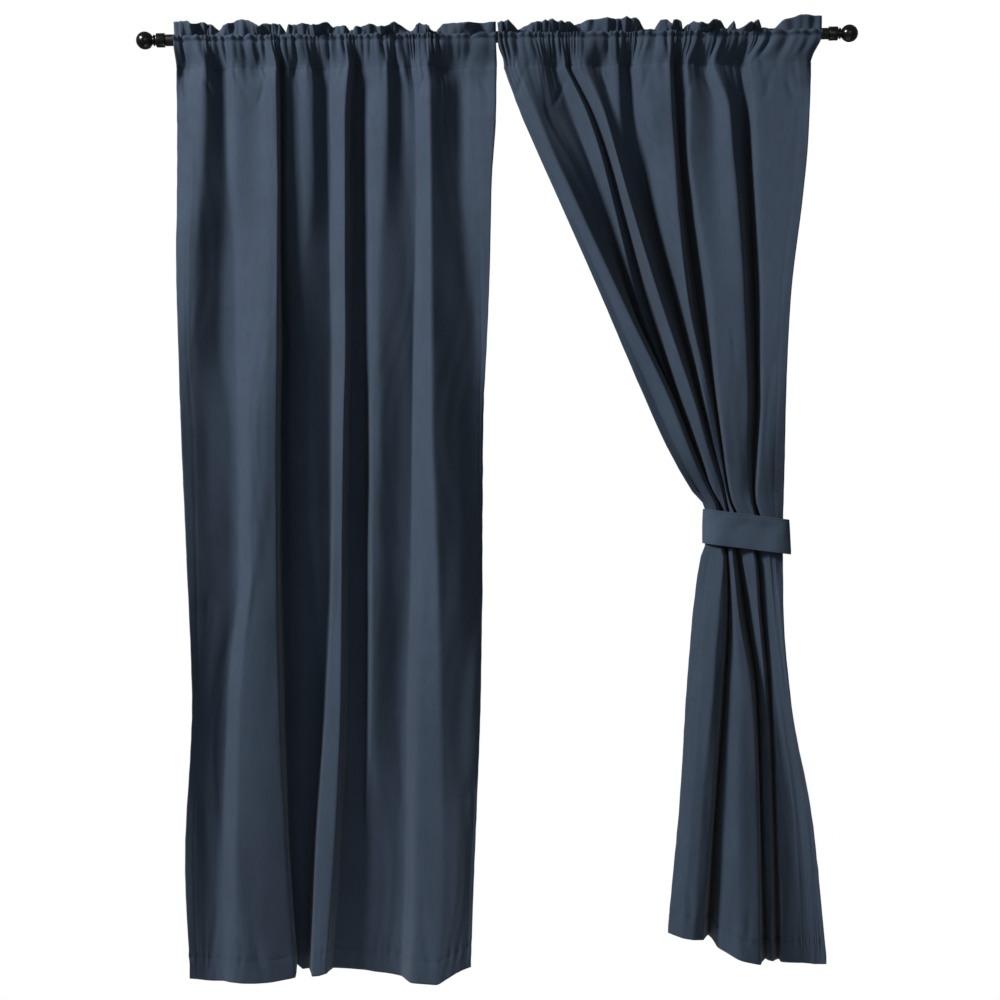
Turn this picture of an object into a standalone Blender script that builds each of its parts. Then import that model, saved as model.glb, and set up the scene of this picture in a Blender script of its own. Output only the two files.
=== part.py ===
"""Two rod-pocket curtain panels that share one rod with ball finials.

The left panel hangs straight. The right panel is drawn aside and held by a tieback strap.
Everything is in metres. +Z is up, the rod runs along X, and the room side, which the
curtains are seen from, is -Y. The origin is the middle of the rod, on its axis.
"""

import math
from collections import namedtuple

import bmesh
import bpy
import numpy as np

MM = 0.001

# The cloth. A panel is one piece, cut 84 in long with a 3 in pocket and 1 1/4 in frill above it.
CLOTH_WIDTH = 1.016
CLOTH_THICKNESS = 1.2 * MM
LAYER_PITCH = 2.2 * MM
FRILL_LENGTH = 31 * MM
STITCH_DROP = 64 * MM
FOLD_SOFTNESS = 5 * MM
GATHER_SOFTNESS = 38 * MM
COARSE_STEP = 30 * MM

# The rod and its finials.
ROD_RADIUS = 12.7 * MM
ROD_LENGTH = 1.478
COLLAR_RADIUS = 15.5 * MM
COLLAR_LENGTH = 20 * MM
NECK_RADIUS = 9.5 * MM
NECK_RING_RADIUS = 12.5 * MM
NECK_LENGTH = 9 * MM
BALL_RADIUS = 19.5 * MM
SEAT_GAP = 0.3 * MM
ROUND_SIDES = 24
BALL_STEPS = 10

# The cloth round the rod: the middle of the cloth is this far from the rod's axis.
WRAP_RADIUS = ROD_RADIUS + 1.9 * MM
WRAP_ANGLES = (math.radians(52), math.radians(12))
WRAP_LOW = math.radians(-28)
FRILL_BASE = ROD_RADIUS + 1.7 * MM
GATHER_DEPTH = 5 * MM

# The tieback strap, a flat band of doubled cloth.
STRAP_HEIGHT = 77 * MM
STRAP_THICKNESS = 2.4 * MM
STRAP_TAIL = 10 * MM
STRAP_DROP = 1.108
STRAP_SLOPE = math.radians(-7.8)
STRAP_LEFT = 452 * MM
STRAP_RIGHT = 636 * MM
STRAP_FRONT = 33.8 * MM

# An Outline row is one height: how far below the rod, and where the panel's two edges are, in mm.
Outline = namedtuple("Outline", "drop left right")
# A Fold row is one line down the cloth, with one value for each height in the panel's fold drops.
# "across" is its place from the left edge to the right edge in per cent, "forward" is how far it
# stands towards the room in mm, and "hem" is how far below the rod it ends, in mm.
Fold = namedtuple("Fold", "name across forward hem")
# A Frill row is one crest or dip of the frill's top edge: its place in per cent, how high it
# stands above the rod's axis in mm, and to which side it leans (-1 room, 1 wall, 0 upright).
Frill = namedtuple("Frill", "across height lean")

LEFT_OUTLINE = (
    Outline(0, -717, -2),
    Outline(64, -714, -3),
    Outline(320, -717, -15),
    Outline(670, -718, -29),
    Outline(1070, -707, -44),
    Outline(1470, -695, -53),
    Outline(1850, -714, -68),
    Outline(2087, -706, -79),
)
LEFT_FOLD_DROPS = (64, 320, 670, 1070, 1470, 1850, 2087)
LEFT_FOLDS = (
    Fold("left edge", (0, 0, 0, 0, 0, 0, 0), (-5, 5, 10, 12, 12, 15, 15), 2087),
    Fold("first crest", (8, 5, 3, 2.5, 2.5, 2.5, 3), (15, 25, 25, 20, 18, 24, 28), 2087),
    Fold("first floor", (11, 11, 10, 8, 7, 7, 7), (6, 8, 6, 10, 14, 16, 20), 2087),
    Fold("broad crease", (15, 16, 18, 19.5, 17, 15, 13), (-12, -15, -8, 24, 32, 36, 42), 2087),
    Fold("broad middle", (23, 23, 24, 25, 25, 26, 26), (4, 6, 16, 37, 45, 52, 58), 2087),
    Fold("broad ridge", (31, 32, 32, 31, 30.5, 35.5, 38), (22, 32, 38, 46, 54, 60, 64), 2087),
    Fold("deep gap", (32.5, 33.5, 34, 34, 34, 39, 41.5), (-20, -24, -28, -40, -52, -62, -66), 2087),
    Fold("soft ridge", (42.5, 43, 42, 41, 40, 42, 43), (14, 14, 4, -12, -30, -50, -60), 2087),
    Fold("third valley", (46.5, 49, 50, 49, 46, 45, 44), (-18, -22, -26, -36, -44, -50, -52), 2087),
    Fold("narrow ridge", (53.5, 53.5, 54, 53, 51.5, 51.5, 48.5), (16, 22, 24, 24, 22, 22, 18), 2087),
    Fold("fourth valley", (56.5, 58.5, 60.5, 60.5, 60, 62, 63), (-18, -26, -28, -30, -28, -26, -24), 2087),
    Fold("fifth crest", (61, 62, 63, 63, 63, 68, 69), (12, 16, 12, 2, -4, -8, -10), 2087),
    Fold("fifth ridge", (66, 67, 67, 67, 68, 71, 72), (20, 26, 12, 0, -6, -8, -9), 2087),
    Fold("fifth valley", (74, 76.5, 76, 76.5, 75.5, 75, 75.5), (-18, -24, -24, -20, -18, -16, -16), 2087),
    Fold("sixth ridge", (79, 80.5, 83, 85, 86, 87, 88), (20, 26, 30, 36, 36, 32, 30), 2087),
    Fold("sixth valley", (88, 90, 94, 95.5, 95.5, 95, 94), (-16, -20, -16, -12, -12, -10, -10), 2087),
    Fold("last crest", (95, 96, 97.5, 98, 98, 97.5, 97), (5, 6, -4, -8, -8, -6, -4), 2087),
    Fold("right edge", (100, 100, 100, 100, 100, 100, 100), (-4, 0, -6, -8, -8, -5, -5), 2087),
)
LEFT_FRILL = (
    Frill(0, 43, 0), Frill(4, 42, -1), Frill(6, 34, -1), Frill(8, 42, 0), Frill(14, 29, 1),
    Frill(19, 44, 0), Frill(26, 26, -1), Frill(31, 36, 0), Frill(34.5, 24, 1), Frill(40, 37, 0),
    Frill(44, 24, -1), Frill(47, 40, 0), Frill(55, 23, 1), Frill(60, 36, 0), Frill(64.5, 20, -1),
    Frill(68, 38, 0), Frill(72.5, 23, 1), Frill(75.5, 38, 0), Frill(80, 20, -1), Frill(85, 37, 0),
    Frill(90, 26, 1), Frill(94, 38, 0), Frill(100, 37, 0),
)

RIGHT_OUTLINE = (
    Outline(0, 2, 720),
    Outline(64, 12, 703),
    Outline(211, 67, 694),
    Outline(367, 137, 679),
    Outline(591, 233, 650),
    Outline(814, 324, 637),
    Outline(1032, 437, 633),
    Outline(1052, 456, 632),
    Outline(1142, 455, 632),
    Outline(1176, 444, 631),
    Outline(1305, 425, 628),
    Outline(1528, 406, 647),
    Outline(1796, 386, 687),
    Outline(2070, 363, 711),
)
RIGHT_FOLD_DROPS = (64, 211, 367, 591, 814, 1045, 1150, 1305, 1528, 1796, 2070)
RIGHT_FOLDS = (
    Fold("leading edge", (0, 0, 0, 0, 0, 0, 0, 0, 0, 0, 0),
         (-5, 0, 5, 10, 15, 12, 12, 18, 22, 25, 25), 2000),
    Fold("leading crest", (5, 6, 7, 10.5, 16, 15, 23, 24, 22, 16, 13),
         (12, 20, 26, 32, 38, 30, 33, 38, 40, 42, 45), 2008),
    Fold("leading shoulder", (8, 8, 9, 12, 17.5, 18, 27, 33, 33, 26, 21),
         (6, 14, 20, 28, 34, 26, 30, 24, 20, 24, 34), 2015),
    Fold("first valley", (18, 18.5, 17, 15, 21.5, 21, 29.5, 38, 36, 28, 25),
         (-15, -22, -28, -30, -34, -34, -34, -60, -66, -68, -70), 2028),
    Fold("lost ridge", (25, 23.5, 21.5, 18, 24, 23.5, 31, 40, 38, 30, 29),
         (10, 10, 6, -6, -22, -24, -20, -22, -20, -28, -34), 2036),
    Fold("lost valley", (27.5, 25.5, 24, 23, 26.5, 25.5, 33, 42.5, 41, 33, 34),
         (-12, -18, -24, -28, -30, -32, 28, 20, 12, 10, 6), 2046),
    Fold("third ridge", (31, 29.5, 28.5, 30.5, 34, 28.5, 39.5, 53, 62.5, 58, 59),
         (12, 20, 25, 28, 30, 30, 30, 26, 34, 38, 40), 2058),
    Fold("third valley", (41.5, 39, 38, 38, 37.5, 31, 45.5, 59, 65.5, 61, 61),
         (-15, -22, -26, -30, -34, -34, -34, -58, -62, -66, -68), 2066),
    Fold("fourth ridge", (54.5, 53, 50, 45, 45, 35, 64, 73, 74, 68, 66.5),
         (20, 24, 22, 20, 22, 28, 32, 24, 6, -5, -8), 2070),
    Fold("fourth valley", (56.5, 55, 52, 49, 48, 38.5, 67, 76, 77, 72, 71),
         (-16, -26, -30, -34, -36, -34, -34, -58, -66, -70, -74), 2070),
    Fold("fifth shoulder", (59, 57.5, 54.5, 54, 51, 42, 71.5, 81, 84, 85, 87),
         (12, 18, 20, 24, 28, 30, 30, -30, -48, -66, -76), 2070),
    Fold("fifth dip", (65, 64.5, 64, 65, 61.5, 53, 75.5, 84, 88, 90, 92),
         (8, 10, 14, 22, 28, 31, 26, -12, -26, -42, -52), 2070),
    Fold("fifth ridge", (74, 73, 73, 75.5, 73.5, 63, 79.5, 82, 80, 78, 76),
         (18, 24, 28, 34, 36, 34, 32, 20, -6, -22, -36), 2070),
    Fold("fifth valley", (77, 76, 75.5, 78.5, 78, 67, 84, 87, 86, 85, 84),
         (-18, -28, -32, -36, -38, -34, -20, 4, 2, -8, -14), 2070),
    Fold("sixth shoulder", (80.5, 79, 78.5, 82, 82.5, 71, 88, 91, 91, 91, 91),
         (12, 18, 20, 24, 26, 26, 24, 16, 6, 0, -4), 2070),
    Fold("sixth crest", (89, 89, 89, 88, 88, 85, 93, 96, 96, 96, 96),
         (15, 22, 28, 30, 28, 20, 20, 14, 8, 6, 6), 2070),
    Fold("trailing edge", (100, 100, 100, 100, 100, 100, 100, 100, 100, 100, 100),
         (-6, -4, 0, 2, 0, 2, 4, 6, 6, 8, 10), 2070),
)
RIGHT_FRILL = (
    Frill(0, 35, 0), Frill(3, 32, -1), Frill(7, 28, 1), Frill(11, 36, 0), Frill(16, 30, -1),
    Frill(20, 33, 0), Frill(22.5, 24, 1), Frill(29, 40, 0), Frill(38, 38, -1), Frill(42, 30, -1),
    Frill(46, 26, 1), Frill(49, 36, 0), Frill(53, 40, 0), Frill(57, 27, -1), Frill(60, 38, 0),
    Frill(64, 26, 1), Frill(67, 38, 0), Frill(71, 25, -1), Frill(74, 36, 0), Frill(77, 22, 1),
    Frill(80, 36, 0), Frill(85, 24, -1), Frill(89, 40, 0), Frill(94, 44, 0), Frill(100, 43, 0),
)

# The heights below the rod, in metres, at which the cloth gets a row of points, from the hem up.
LEFT_ROWS = (2.087, 1.96, 1.80, 1.60, 1.38, 1.12, 0.84, 0.56, 0.32, 0.16, STITCH_DROP)
RIGHT_ROWS = (
    2.07, 1.93, 1.74, 1.53, 1.33, 1.176, 1.145, 1.05, 1.025, 0.84, 0.60, 0.37, 0.20, STITCH_DROP,
)

CLOTH_COLOUR = (0.065, 0.093, 0.140, 1.0)
ROD_COLOUR = (0.012, 0.012, 0.013, 1.0)


def clear_scene():
    for obj in list(bpy.data.objects):
        bpy.data.objects.remove(obj)


def material(name, colour, roughness, metallic):
    made = bpy.data.materials.new(name)
    made.use_nodes = True
    shader = made.node_tree.nodes["Principled BSDF"]
    shader.inputs["Base Color"].default_value = colour
    shader.inputs["Roughness"].default_value = roughness
    shader.inputs["Metallic"].default_value = metallic
    return made


def finish_object(name, mesh, collection, surface):
    obj = bpy.data.objects.new(name, mesh)
    collection.objects.link(obj)
    mesh.materials.append(surface)
    return obj


def eased(places, values, place):
    """Values at one place between rows, on a smooth curve that never overshoots a row."""
    places = np.asarray(places, float)
    values = np.asarray(values, float)
    steps = np.diff(places)
    rises = np.diff(values, axis=-1) / steps
    slopes = np.zeros_like(values)
    same_way = rises[..., 1:] * rises[..., :-1] > 0
    total = np.where(same_way, rises[..., 1:] + rises[..., :-1], 1.0)
    slopes[..., 1:-1] = np.where(same_way, 2 * rises[..., 1:] * rises[..., :-1] / total, 0.0)
    slopes[..., 0], slopes[..., -1] = rises[..., 0], rises[..., -1]
    row = int(np.clip(np.searchsorted(places, place) - 1, 0, len(steps) - 1))
    width = steps[row]
    t = float(np.clip((place - places[row]) / width, 0, 1))
    start, end = values[..., row], values[..., row + 1]
    out = (2 * t**3 - 3 * t**2 + 1) * start + (t**3 - 2 * t**2 + t) * width * slopes[..., row]
    return out + (3 * t**2 - 2 * t**3) * end + (t**3 - t**2) * width * slopes[..., row + 1]


class Panel:
    """The folds of one curtain panel, and where each point of its cloth hangs."""

    def __init__(self, outline, fold_drops, folds, frill):
        self.fold_drops = np.array(fold_drops) * MM
        self.drops = np.array([row.drop for row in outline]) * MM
        self.edges = np.array([[row.left for row in outline], [row.right for row in outline]]) * MM
        self.across = np.array([fold.across for fold in folds]) / 100
        self.forward = np.array([fold.forward for fold in folds]) * MM
        self.hems = np.array([fold.hem for fold in folds]) * MM
        self.frill = frill
        self.marks = self.cloth_marks()

    def lines(self, drop):
        """(x, y) of every fold line at one height, straight from the tables."""
        left, right = eased(self.drops, self.edges, drop)
        across = eased(self.fold_drops, self.across, drop)
        forward = eased(self.fold_drops, self.forward, drop)
        return left + (right - left) * across, -forward

    def cloth_marks(self):
        """Where the fold lines lie across the flat cloth, from the mean length between them."""
        lengths = [np.hypot(*np.diff(self.lines(drop), axis=1)) for drop in self.fold_drops]
        marks = np.concatenate([[0.0], np.cumsum(np.mean(lengths, axis=0))])
        return marks * CLOTH_WIDTH / marks[-1]

    def softened(self, values, u, softness=FOLD_SOFTNESS):
        """Values given on the fold lines, at places u across the cloth, with the folds rounded."""
        marks = np.concatenate(
            [[-self.marks[1]], self.marks, [2 * self.marks[-1] - self.marks[-2]]]
        )
        values = np.concatenate(
            [[2 * values[0] - values[1]], values, [2 * values[-1] - values[-2]]]
        )
        spread = np.linspace(-2, 2, 9)
        weights = np.exp(-(spread**2) / 2)
        weights /= weights.sum()
        moved = u[:, None] + spread[None, :] * softness
        return np.interp(moved, marks, values) @ weights

    def hanging(self, drop, u):
        """Points of the cloth where it hangs below the pocket. The hem may be drawn up."""
        x, y = (self.softened(values, u) for values in self.lines(drop))
        strap = min(STRAP_DROP, drop)
        share = (self.softened(self.hems, u) - STRAP_DROP) / (self.drops[-1] - STRAP_DROP)
        return np.stack([x, y, -(strap + (drop - strap) * share)], axis=1)

    def columns(self):
        """Places across the cloth: on each fold line, evenly between, and halved again."""
        coarse = [0.0]
        for start, end in zip(self.marks[:-1], self.marks[1:]):
            count = max(1, round((end - start) / COARSE_STEP))
            coarse += list(start + (end - start) * np.arange(1, count + 1) / count)
        fine = np.zeros(2 * len(coarse) - 1)
        fine[::2] = coarse
        fine[1::2] = (np.array(coarse[1:]) + np.array(coarse[:-1])) / 2
        return fine

    def gathered(self, u):
        """X of the cloth on the rod, where the folds are spread into small gathers."""
        x = self.softened(self.lines(0.0)[0], u, GATHER_SOFTNESS)
        left, right = eased(self.drops, self.edges, 0.0)
        return left + (x - x[0]) * (right - left) / (x[-1] - x[0])

    def gathers(self, u):
        """Small uneven gathers in the pocket, from 0 to 1."""
        wave = np.sin(2 * np.pi * u / 0.062) + 0.7 * np.sin(2 * np.pi * u / 0.097 + 1.3)
        return 0.5 + wave / 3.4

    def frill_edge(self, share):
        """(height, lean) of the frill's top edge, in metres, for shares of the panel's width."""
        places = [row.across / 100 for row in self.frill]
        heights = np.array([row.height for row in self.frill]) * MM
        rises = np.clip((heights - FRILL_BASE) / FRILL_LENGTH, 0.1, 1.0)
        leans = FRILL_LENGTH * np.sqrt(1 - rises**2) * [row.lean for row in self.frill]
        values = np.stack([heights, leans])
        return np.stack([eased(places, values, place) for place in share], axis=1)

    def frill_rows(self, u):
        """The frill's middle surface at three heights, and the way from room to wall there."""
        left, right = eased(self.drops, self.edges, 0.0)
        x = self.gathered(u)
        height, lean = self.frill_edge((x - left) / (right - left))
        pinch = (self.gathers(u) - 0.5) * GATHER_DEPTH
        rows = []
        for part in (0.0, 0.5, 1.0):
            y = pinch * (0.4 + part - 1.4 * part**2) + lean * part**1.4
            z = FRILL_BASE + (height - FRILL_BASE) * part
            rows.append(np.stack([x, y, z], axis=1))
        grid = np.array(rows)
        along = np.gradient(grid, axis=1)
        upward = np.gradient(grid, axis=0)
        normals = np.cross(upward, along)
        normals /= np.linalg.norm(normals, axis=2, keepdims=True)
        return grid, np.where(normals[..., 1:2] < 0, -normals, normals)

    def round_rod(self, angle, side, u):
        """The cloth against the rod. Angle is from level upwards, side -1 room and 1 wall."""
        x = self.gathered(u)
        radius = WRAP_RADIUS + GATHER_DEPTH * self.gathers(u + (0.02 if side > 0 else 0))
        y = side * radius * math.cos(angle)
        z = np.full_like(u, WRAP_RADIUS * math.sin(angle))
        return np.stack([x, y, z], axis=1)

    def below_rod(self, part, side, u):
        """Between the rod (part 0) and the pocket's stitching (part 1), on either side."""
        top = self.round_rod(WRAP_LOW, side, u)
        bottom = self.hanging(STITCH_DROP, u)
        if side > 0:
            along = np.gradient(bottom, axis=0)
            to_wall = np.stack([-along[:, 1], along[:, 0], np.zeros_like(u)], axis=1)
            bottom += LAYER_PITCH * to_wall / np.linalg.norm(to_wall, axis=1, keepdims=True)
            bottom[:, 2] += LAYER_PITCH
        ease = part * part * (3 - 2 * part)
        out = top * (1 - ease) + bottom * ease
        out[:, 2] = top[:, 2] * (1 - part) + bottom[:, 2] * part
        return out


def panel_rows(panel, drops, u):
    """Every row of the cloth, from the hem up the front, over the frill and down the back."""
    frill, to_wall = panel.frill_rows(u)
    half = LAYER_PITCH / 2
    rows = [panel.hanging(drop, u) for drop in drops]
    rows.append(panel.below_rod(0.5, -1, u))
    rows.append(panel.below_rod(0.0, -1, u))
    rows += [panel.round_rod(angle, -1, u) for angle in reversed(WRAP_ANGLES)]
    rows += [frill[i] - to_wall[i] * half for i in (0, 1, 2)]
    rows += [frill[i] + to_wall[i] * half for i in (2, 1, 0)]
    rows += [panel.round_rod(angle, 1, u) for angle in WRAP_ANGLES]
    rows.append(panel.below_rod(0.0, 1, u))
    rows.append(panel.below_rod(0.5, 1, u))
    rows.append(panel.below_rod(1.0, 1, u))
    return rows


def sheet_mesh(name, rows, coarse_rows):
    """A grid laid on the rows. Every second column is left out on the coarse rows."""
    across, along = len(rows[0]) - 1, len(rows) - 1
    work = bmesh.new()
    bmesh.ops.create_grid(work, x_segments=across, y_segments=along, size=1)
    place = {}
    for vertex in work.verts:
        column = round((vertex.co.x + 1) / 2 * across)
        row = round((vertex.co.y + 1) / 2 * along)
        place[vertex] = (column, row)
    for vertex, (column, row) in place.items():
        vertex.co = rows[row][column]
    spare = [
        edge
        for edge in work.edges
        if all(place[end][0] % 2 == 1 and place[end][1] in coarse_rows for end in edge.verts)
    ]
    bmesh.ops.dissolve_edges(work, edges=spare, use_verts=True)
    bmesh.ops.recalc_face_normals(work, faces=work.faces)
    bmesh.ops.triangulate(work, faces=work.faces)
    mesh = bpy.data.meshes.new(name)
    work.to_mesh(mesh)
    work.free()
    mesh.shade_smooth()
    return mesh


def thicken(obj, thickness):
    solid = obj.modifiers.new("Cloth thickness", "SOLIDIFY")
    solid.thickness = thickness
    solid.offset = 0
    solid.use_quality_normals = True


def build_panel(name, panel, drops, collection, surface):
    rows = panel_rows(panel, drops, panel.columns())
    hanging = set(range(len(drops)))
    obj = finish_object(name, sheet_mesh(name, rows, hanging | {len(rows) - 1}), collection, surface)
    thicken(obj, CLOTH_THICKNESS)
    return obj


def turned(name, profile, collection, surface):
    """A solid of revolution about X from (distance along X, radius) pairs."""
    mesh = bpy.data.meshes.new(name)
    points = [(radius, 0, along) for along, radius in profile]
    mesh.from_pydata(points, [(i, i + 1) for i in range(len(points) - 1)], [])
    obj = finish_object(name, mesh, collection, surface)
    screw = obj.modifiers.new("Turned", "SCREW")
    screw.axis = "Z"
    screw.steps = screw.render_steps = ROUND_SIDES
    screw.use_merge_vertices = True
    screw.merge_threshold = 0.00001
    screw.use_smooth_shade = True
    return obj


def build_rod(collection, surface):
    bpy.ops.mesh.primitive_cylinder_add(
        vertices=ROUND_SIDES, radius=ROD_RADIUS, depth=ROD_LENGTH, rotation=(0, math.pi / 2, 0)
    )
    rod = bpy.context.object
    rod.name = rod.data.name = "rod"
    for owner in list(rod.users_collection):
        owner.objects.unlink(rod)
    collection.objects.link(rod)
    rod.data.materials.append(surface)
    rod.data.set_sharp_from_angle(angle=math.radians(35))
    return rod


def finial_profile():
    """From the seat on the rod's end, over the collar and neck, to the tip of the ball."""
    edge = 1 * MM
    neck_end = COLLAR_LENGTH + NECK_LENGTH
    seat = math.asin(NECK_RADIUS / BALL_RADIUS)
    centre = neck_end + BALL_RADIUS * math.cos(seat)
    outline = [
        (0, 0),
        (0, COLLAR_RADIUS - edge),
        (edge, COLLAR_RADIUS),
        (COLLAR_LENGTH - edge, COLLAR_RADIUS),
        (COLLAR_LENGTH, COLLAR_RADIUS - edge),
        (COLLAR_LENGTH, NECK_RADIUS),
        (COLLAR_LENGTH + NECK_LENGTH * 0.3, NECK_RADIUS),
        (COLLAR_LENGTH + NECK_LENGTH * 0.4, NECK_RING_RADIUS),
        (COLLAR_LENGTH + NECK_LENGTH * 0.7, NECK_RING_RADIUS),
        (COLLAR_LENGTH + NECK_LENGTH * 0.8, NECK_RADIUS),
    ]
    for step in range(BALL_STEPS + 1):
        angle = seat + (math.pi - seat) * step / BALL_STEPS
        outline.append((centre - BALL_RADIUS * math.cos(angle), BALL_RADIUS * math.sin(angle)))
    outline[-1] = (outline[-1][0], 0)
    return outline


def build_finials(collection, surface):
    """The Screw runs down its outer side, so the profile is read from the ball to the seat."""
    for name, side in (("finial_left", -1), ("finial_right", 1)):
        finial = turned(name, finial_profile()[::-1], collection, surface)
        finial.location.x = side * (ROD_LENGTH / 2 + SEAT_GAP)
        finial.rotation_euler.y = side * math.pi / 2


def strap_path():
    """The strap in plan, (x, y) in metres: from its front end round the bundle to its back end."""
    left, right, front, back = STRAP_LEFT, STRAP_RIGHT, -STRAP_FRONT, STRAP_FRONT
    return [
        (right + STRAP_TAIL, -3 * MM),
        (right + 1 * MM, -9 * MM),
        (right - 14 * MM, front * 0.76),
        (right - 42 * MM, front),
        (right - 94 * MM, front),
        (left + 36 * MM, front),
        (left + 12 * MM, front * 0.78),
        (left, -10 * MM),
        (left, 10 * MM),
        (left + 12 * MM, back * 0.78),
        (left + 36 * MM, back),
        (right - 94 * MM, back),
        (right - 42 * MM, back),
        (right - 14 * MM, back * 0.76),
        (right + 1 * MM, 7 * MM),
        (right + STRAP_TAIL, 1 * MM),
    ]


def build_strap(collection, surface):
    """An upright ribbon along the path, tipped so that it falls towards the outer side."""
    middle = (STRAP_LEFT + STRAP_RIGHT) / 2
    curve = bpy.data.curves.new("tieback", "CURVE")
    curve.dimensions = "3D"
    spline = curve.splines.new("BEZIER")
    path = strap_path()
    spline.bezier_points.add(len(path) - 1)
    spline.resolution_u = 3
    for point, (x, y) in zip(spline.bezier_points, path):
        point.co = (x, y, 0)
        point.handle_left_type = point.handle_right_type = "AUTO"
    guide = bpy.data.objects.new("tieback_guide", curve)
    collection.objects.link(guide)
    bpy.context.view_layer.update()
    line = bpy.data.meshes.new_from_object(guide.evaluated_get(bpy.context.evaluated_depsgraph_get()))
    bpy.data.objects.remove(guide)
    line.name = "tieback"
    fall = math.tan(STRAP_SLOPE)
    for vertex in line.vertices:
        vertex.co.z = -STRAP_DROP - STRAP_HEIGHT / 2 + fall * (vertex.co.x - middle)
    strap = finish_object("tieback", line, collection, surface)
    raise_up = strap.modifiers.new("Strap height", "SCREW")
    raise_up.angle = 0
    raise_up.screw_offset = STRAP_HEIGHT
    raise_up.steps = raise_up.render_steps = 2
    raise_up.use_merge_vertices = False
    raise_up.use_smooth_shade = True
    thicken(strap, STRAP_THICKNESS)
    return strap


def main():
    clear_scene()
    collection = bpy.data.collections.new("curtain_pair")
    bpy.context.scene.collection.children.link(collection)
    cloth = material("Cotton cloth", CLOTH_COLOUR, 0.85, 0.0)
    metal = material("Black painted steel", ROD_COLOUR, 0.3, 0.6)
    build_rod(collection, metal)
    build_finials(collection, metal)
    left = Panel(LEFT_OUTLINE, LEFT_FOLD_DROPS, LEFT_FOLDS, LEFT_FRILL)
    right = Panel(RIGHT_OUTLINE, RIGHT_FOLD_DROPS, RIGHT_FOLDS, RIGHT_FRILL)
    build_panel("panel_left", left, LEFT_ROWS, collection, cloth)
    build_panel("panel_right", right, RIGHT_ROWS, collection, cloth)
    build_strap(collection, cloth)


main()
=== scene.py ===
# %% [markdown]
# # A pair of curtain panels on one rod
#
# The part is two lengths of slate blue cotton, gathered on a black rod that ends in two small balls.
# The left panel hangs straight and the right one is drawn aside by a flat strap of the same cloth.
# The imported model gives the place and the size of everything. This file makes the surfaces finer:
# the folds, the small gathers, the stitching, the weave and the paint.

# %% Load the frame
import math
from collections import namedtuple

import bmesh
import bpy
import numpy as np
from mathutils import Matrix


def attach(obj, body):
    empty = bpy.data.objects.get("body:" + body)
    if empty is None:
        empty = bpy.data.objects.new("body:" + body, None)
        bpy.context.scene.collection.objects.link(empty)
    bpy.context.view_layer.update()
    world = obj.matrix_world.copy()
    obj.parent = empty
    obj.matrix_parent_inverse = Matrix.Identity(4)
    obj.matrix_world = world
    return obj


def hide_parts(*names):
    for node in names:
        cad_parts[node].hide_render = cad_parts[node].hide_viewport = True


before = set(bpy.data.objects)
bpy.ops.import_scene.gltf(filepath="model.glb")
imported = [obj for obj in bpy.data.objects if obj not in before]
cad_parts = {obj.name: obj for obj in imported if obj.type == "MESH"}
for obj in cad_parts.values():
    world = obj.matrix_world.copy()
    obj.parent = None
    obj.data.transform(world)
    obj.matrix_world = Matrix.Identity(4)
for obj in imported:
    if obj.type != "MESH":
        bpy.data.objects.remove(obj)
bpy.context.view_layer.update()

MM = 0.001

# %% [markdown]
# ## The camera, and where things are seen
#
# A curtain is judged by its folds, and a fold is easiest to place where it is seen. So the camera
# comes first. It stands level with the middle of the cloth, 3.6 m from the rod, and leans by half a
# degree, which makes the level rod rise a little to the right, as in the picture.
# A point can then be written as it is seen, in thousandths of the picture's width, with the distance
# that it stands forward of the rod. A distance of one thousandth is 2.23 mm at the rod.

# %% Set up the camera
SEEN_UNIT = 2.23 * MM
PICTURE_WIDTH = 1000
PICTURE_MIDDLE = 500
CAMERA_DISTANCE = 3.6
CAMERA_RIGHT = -3.8 * MM
CAMERA_DROP = 463 * SEEN_UNIT
LEAN = math.radians(0.574)
SENSOR_WIDTH = 36

camera_data = bpy.data.cameras.new("Camera")
camera_data.sensor_width = SENSOR_WIDTH
camera_data.lens = SENSOR_WIDTH * CAMERA_DISTANCE / (PICTURE_WIDTH * SEEN_UNIT)
camera = bpy.data.objects.new("Camera", camera_data)
bpy.context.scene.collection.objects.link(camera)
camera.location = (CAMERA_RIGHT, -CAMERA_DISTANCE, -CAMERA_DROP)
camera.rotation_euler = (math.pi / 2, LEAN, 0)
bpy.context.scene.camera = camera
print("The lens is", round(camera_data.lens, 1), "mm long")

# %% [markdown]
# Three small functions go between what is seen and places in the room. The first undoes the camera's
# lean and gives the place on the rod's own plane. The second moves that place along the line of sight
# to its real depth, a little nearer the picture's middle. The third goes the other way.

# %% From the picture to the room and back
def on_rod_plane(seen_x, seen_y):
    """(right of the rod's middle, below the rod) in metres, of what is seen there on the rod's plane."""
    across = np.asarray(seen_x, float) - PICTURE_MIDDLE
    down = np.asarray(seen_y, float) - PICTURE_MIDDLE
    right = across * math.cos(LEAN) - down * math.sin(LEAN)
    drop = across * math.sin(LEAN) + down * math.cos(LEAN)
    return right * SEEN_UNIT + CAMERA_RIGHT, drop * SEEN_UNIT + CAMERA_DROP


def nearer(right, forward):
    """The same line of sight, met this far in front of the rod's plane."""
    return CAMERA_RIGHT + (right - CAMERA_RIGHT) * (CAMERA_DISTANCE - forward) / CAMERA_DISTANCE


def seen_at(points):
    """(x, y) in thousandths of the picture, of points in the room."""
    depth = CAMERA_DISTANCE + points[..., 1]
    right = (points[..., 0] - CAMERA_RIGHT) * CAMERA_DISTANCE / depth / SEEN_UNIT
    down = (-points[..., 2] - CAMERA_DROP) * CAMERA_DISTANCE / depth / SEEN_UNIT
    return (
        PICTURE_MIDDLE + right * math.cos(LEAN) + down * math.sin(LEAN),
        PICTURE_MIDDLE - right * math.sin(LEAN) + down * math.cos(LEAN),
    )


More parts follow.
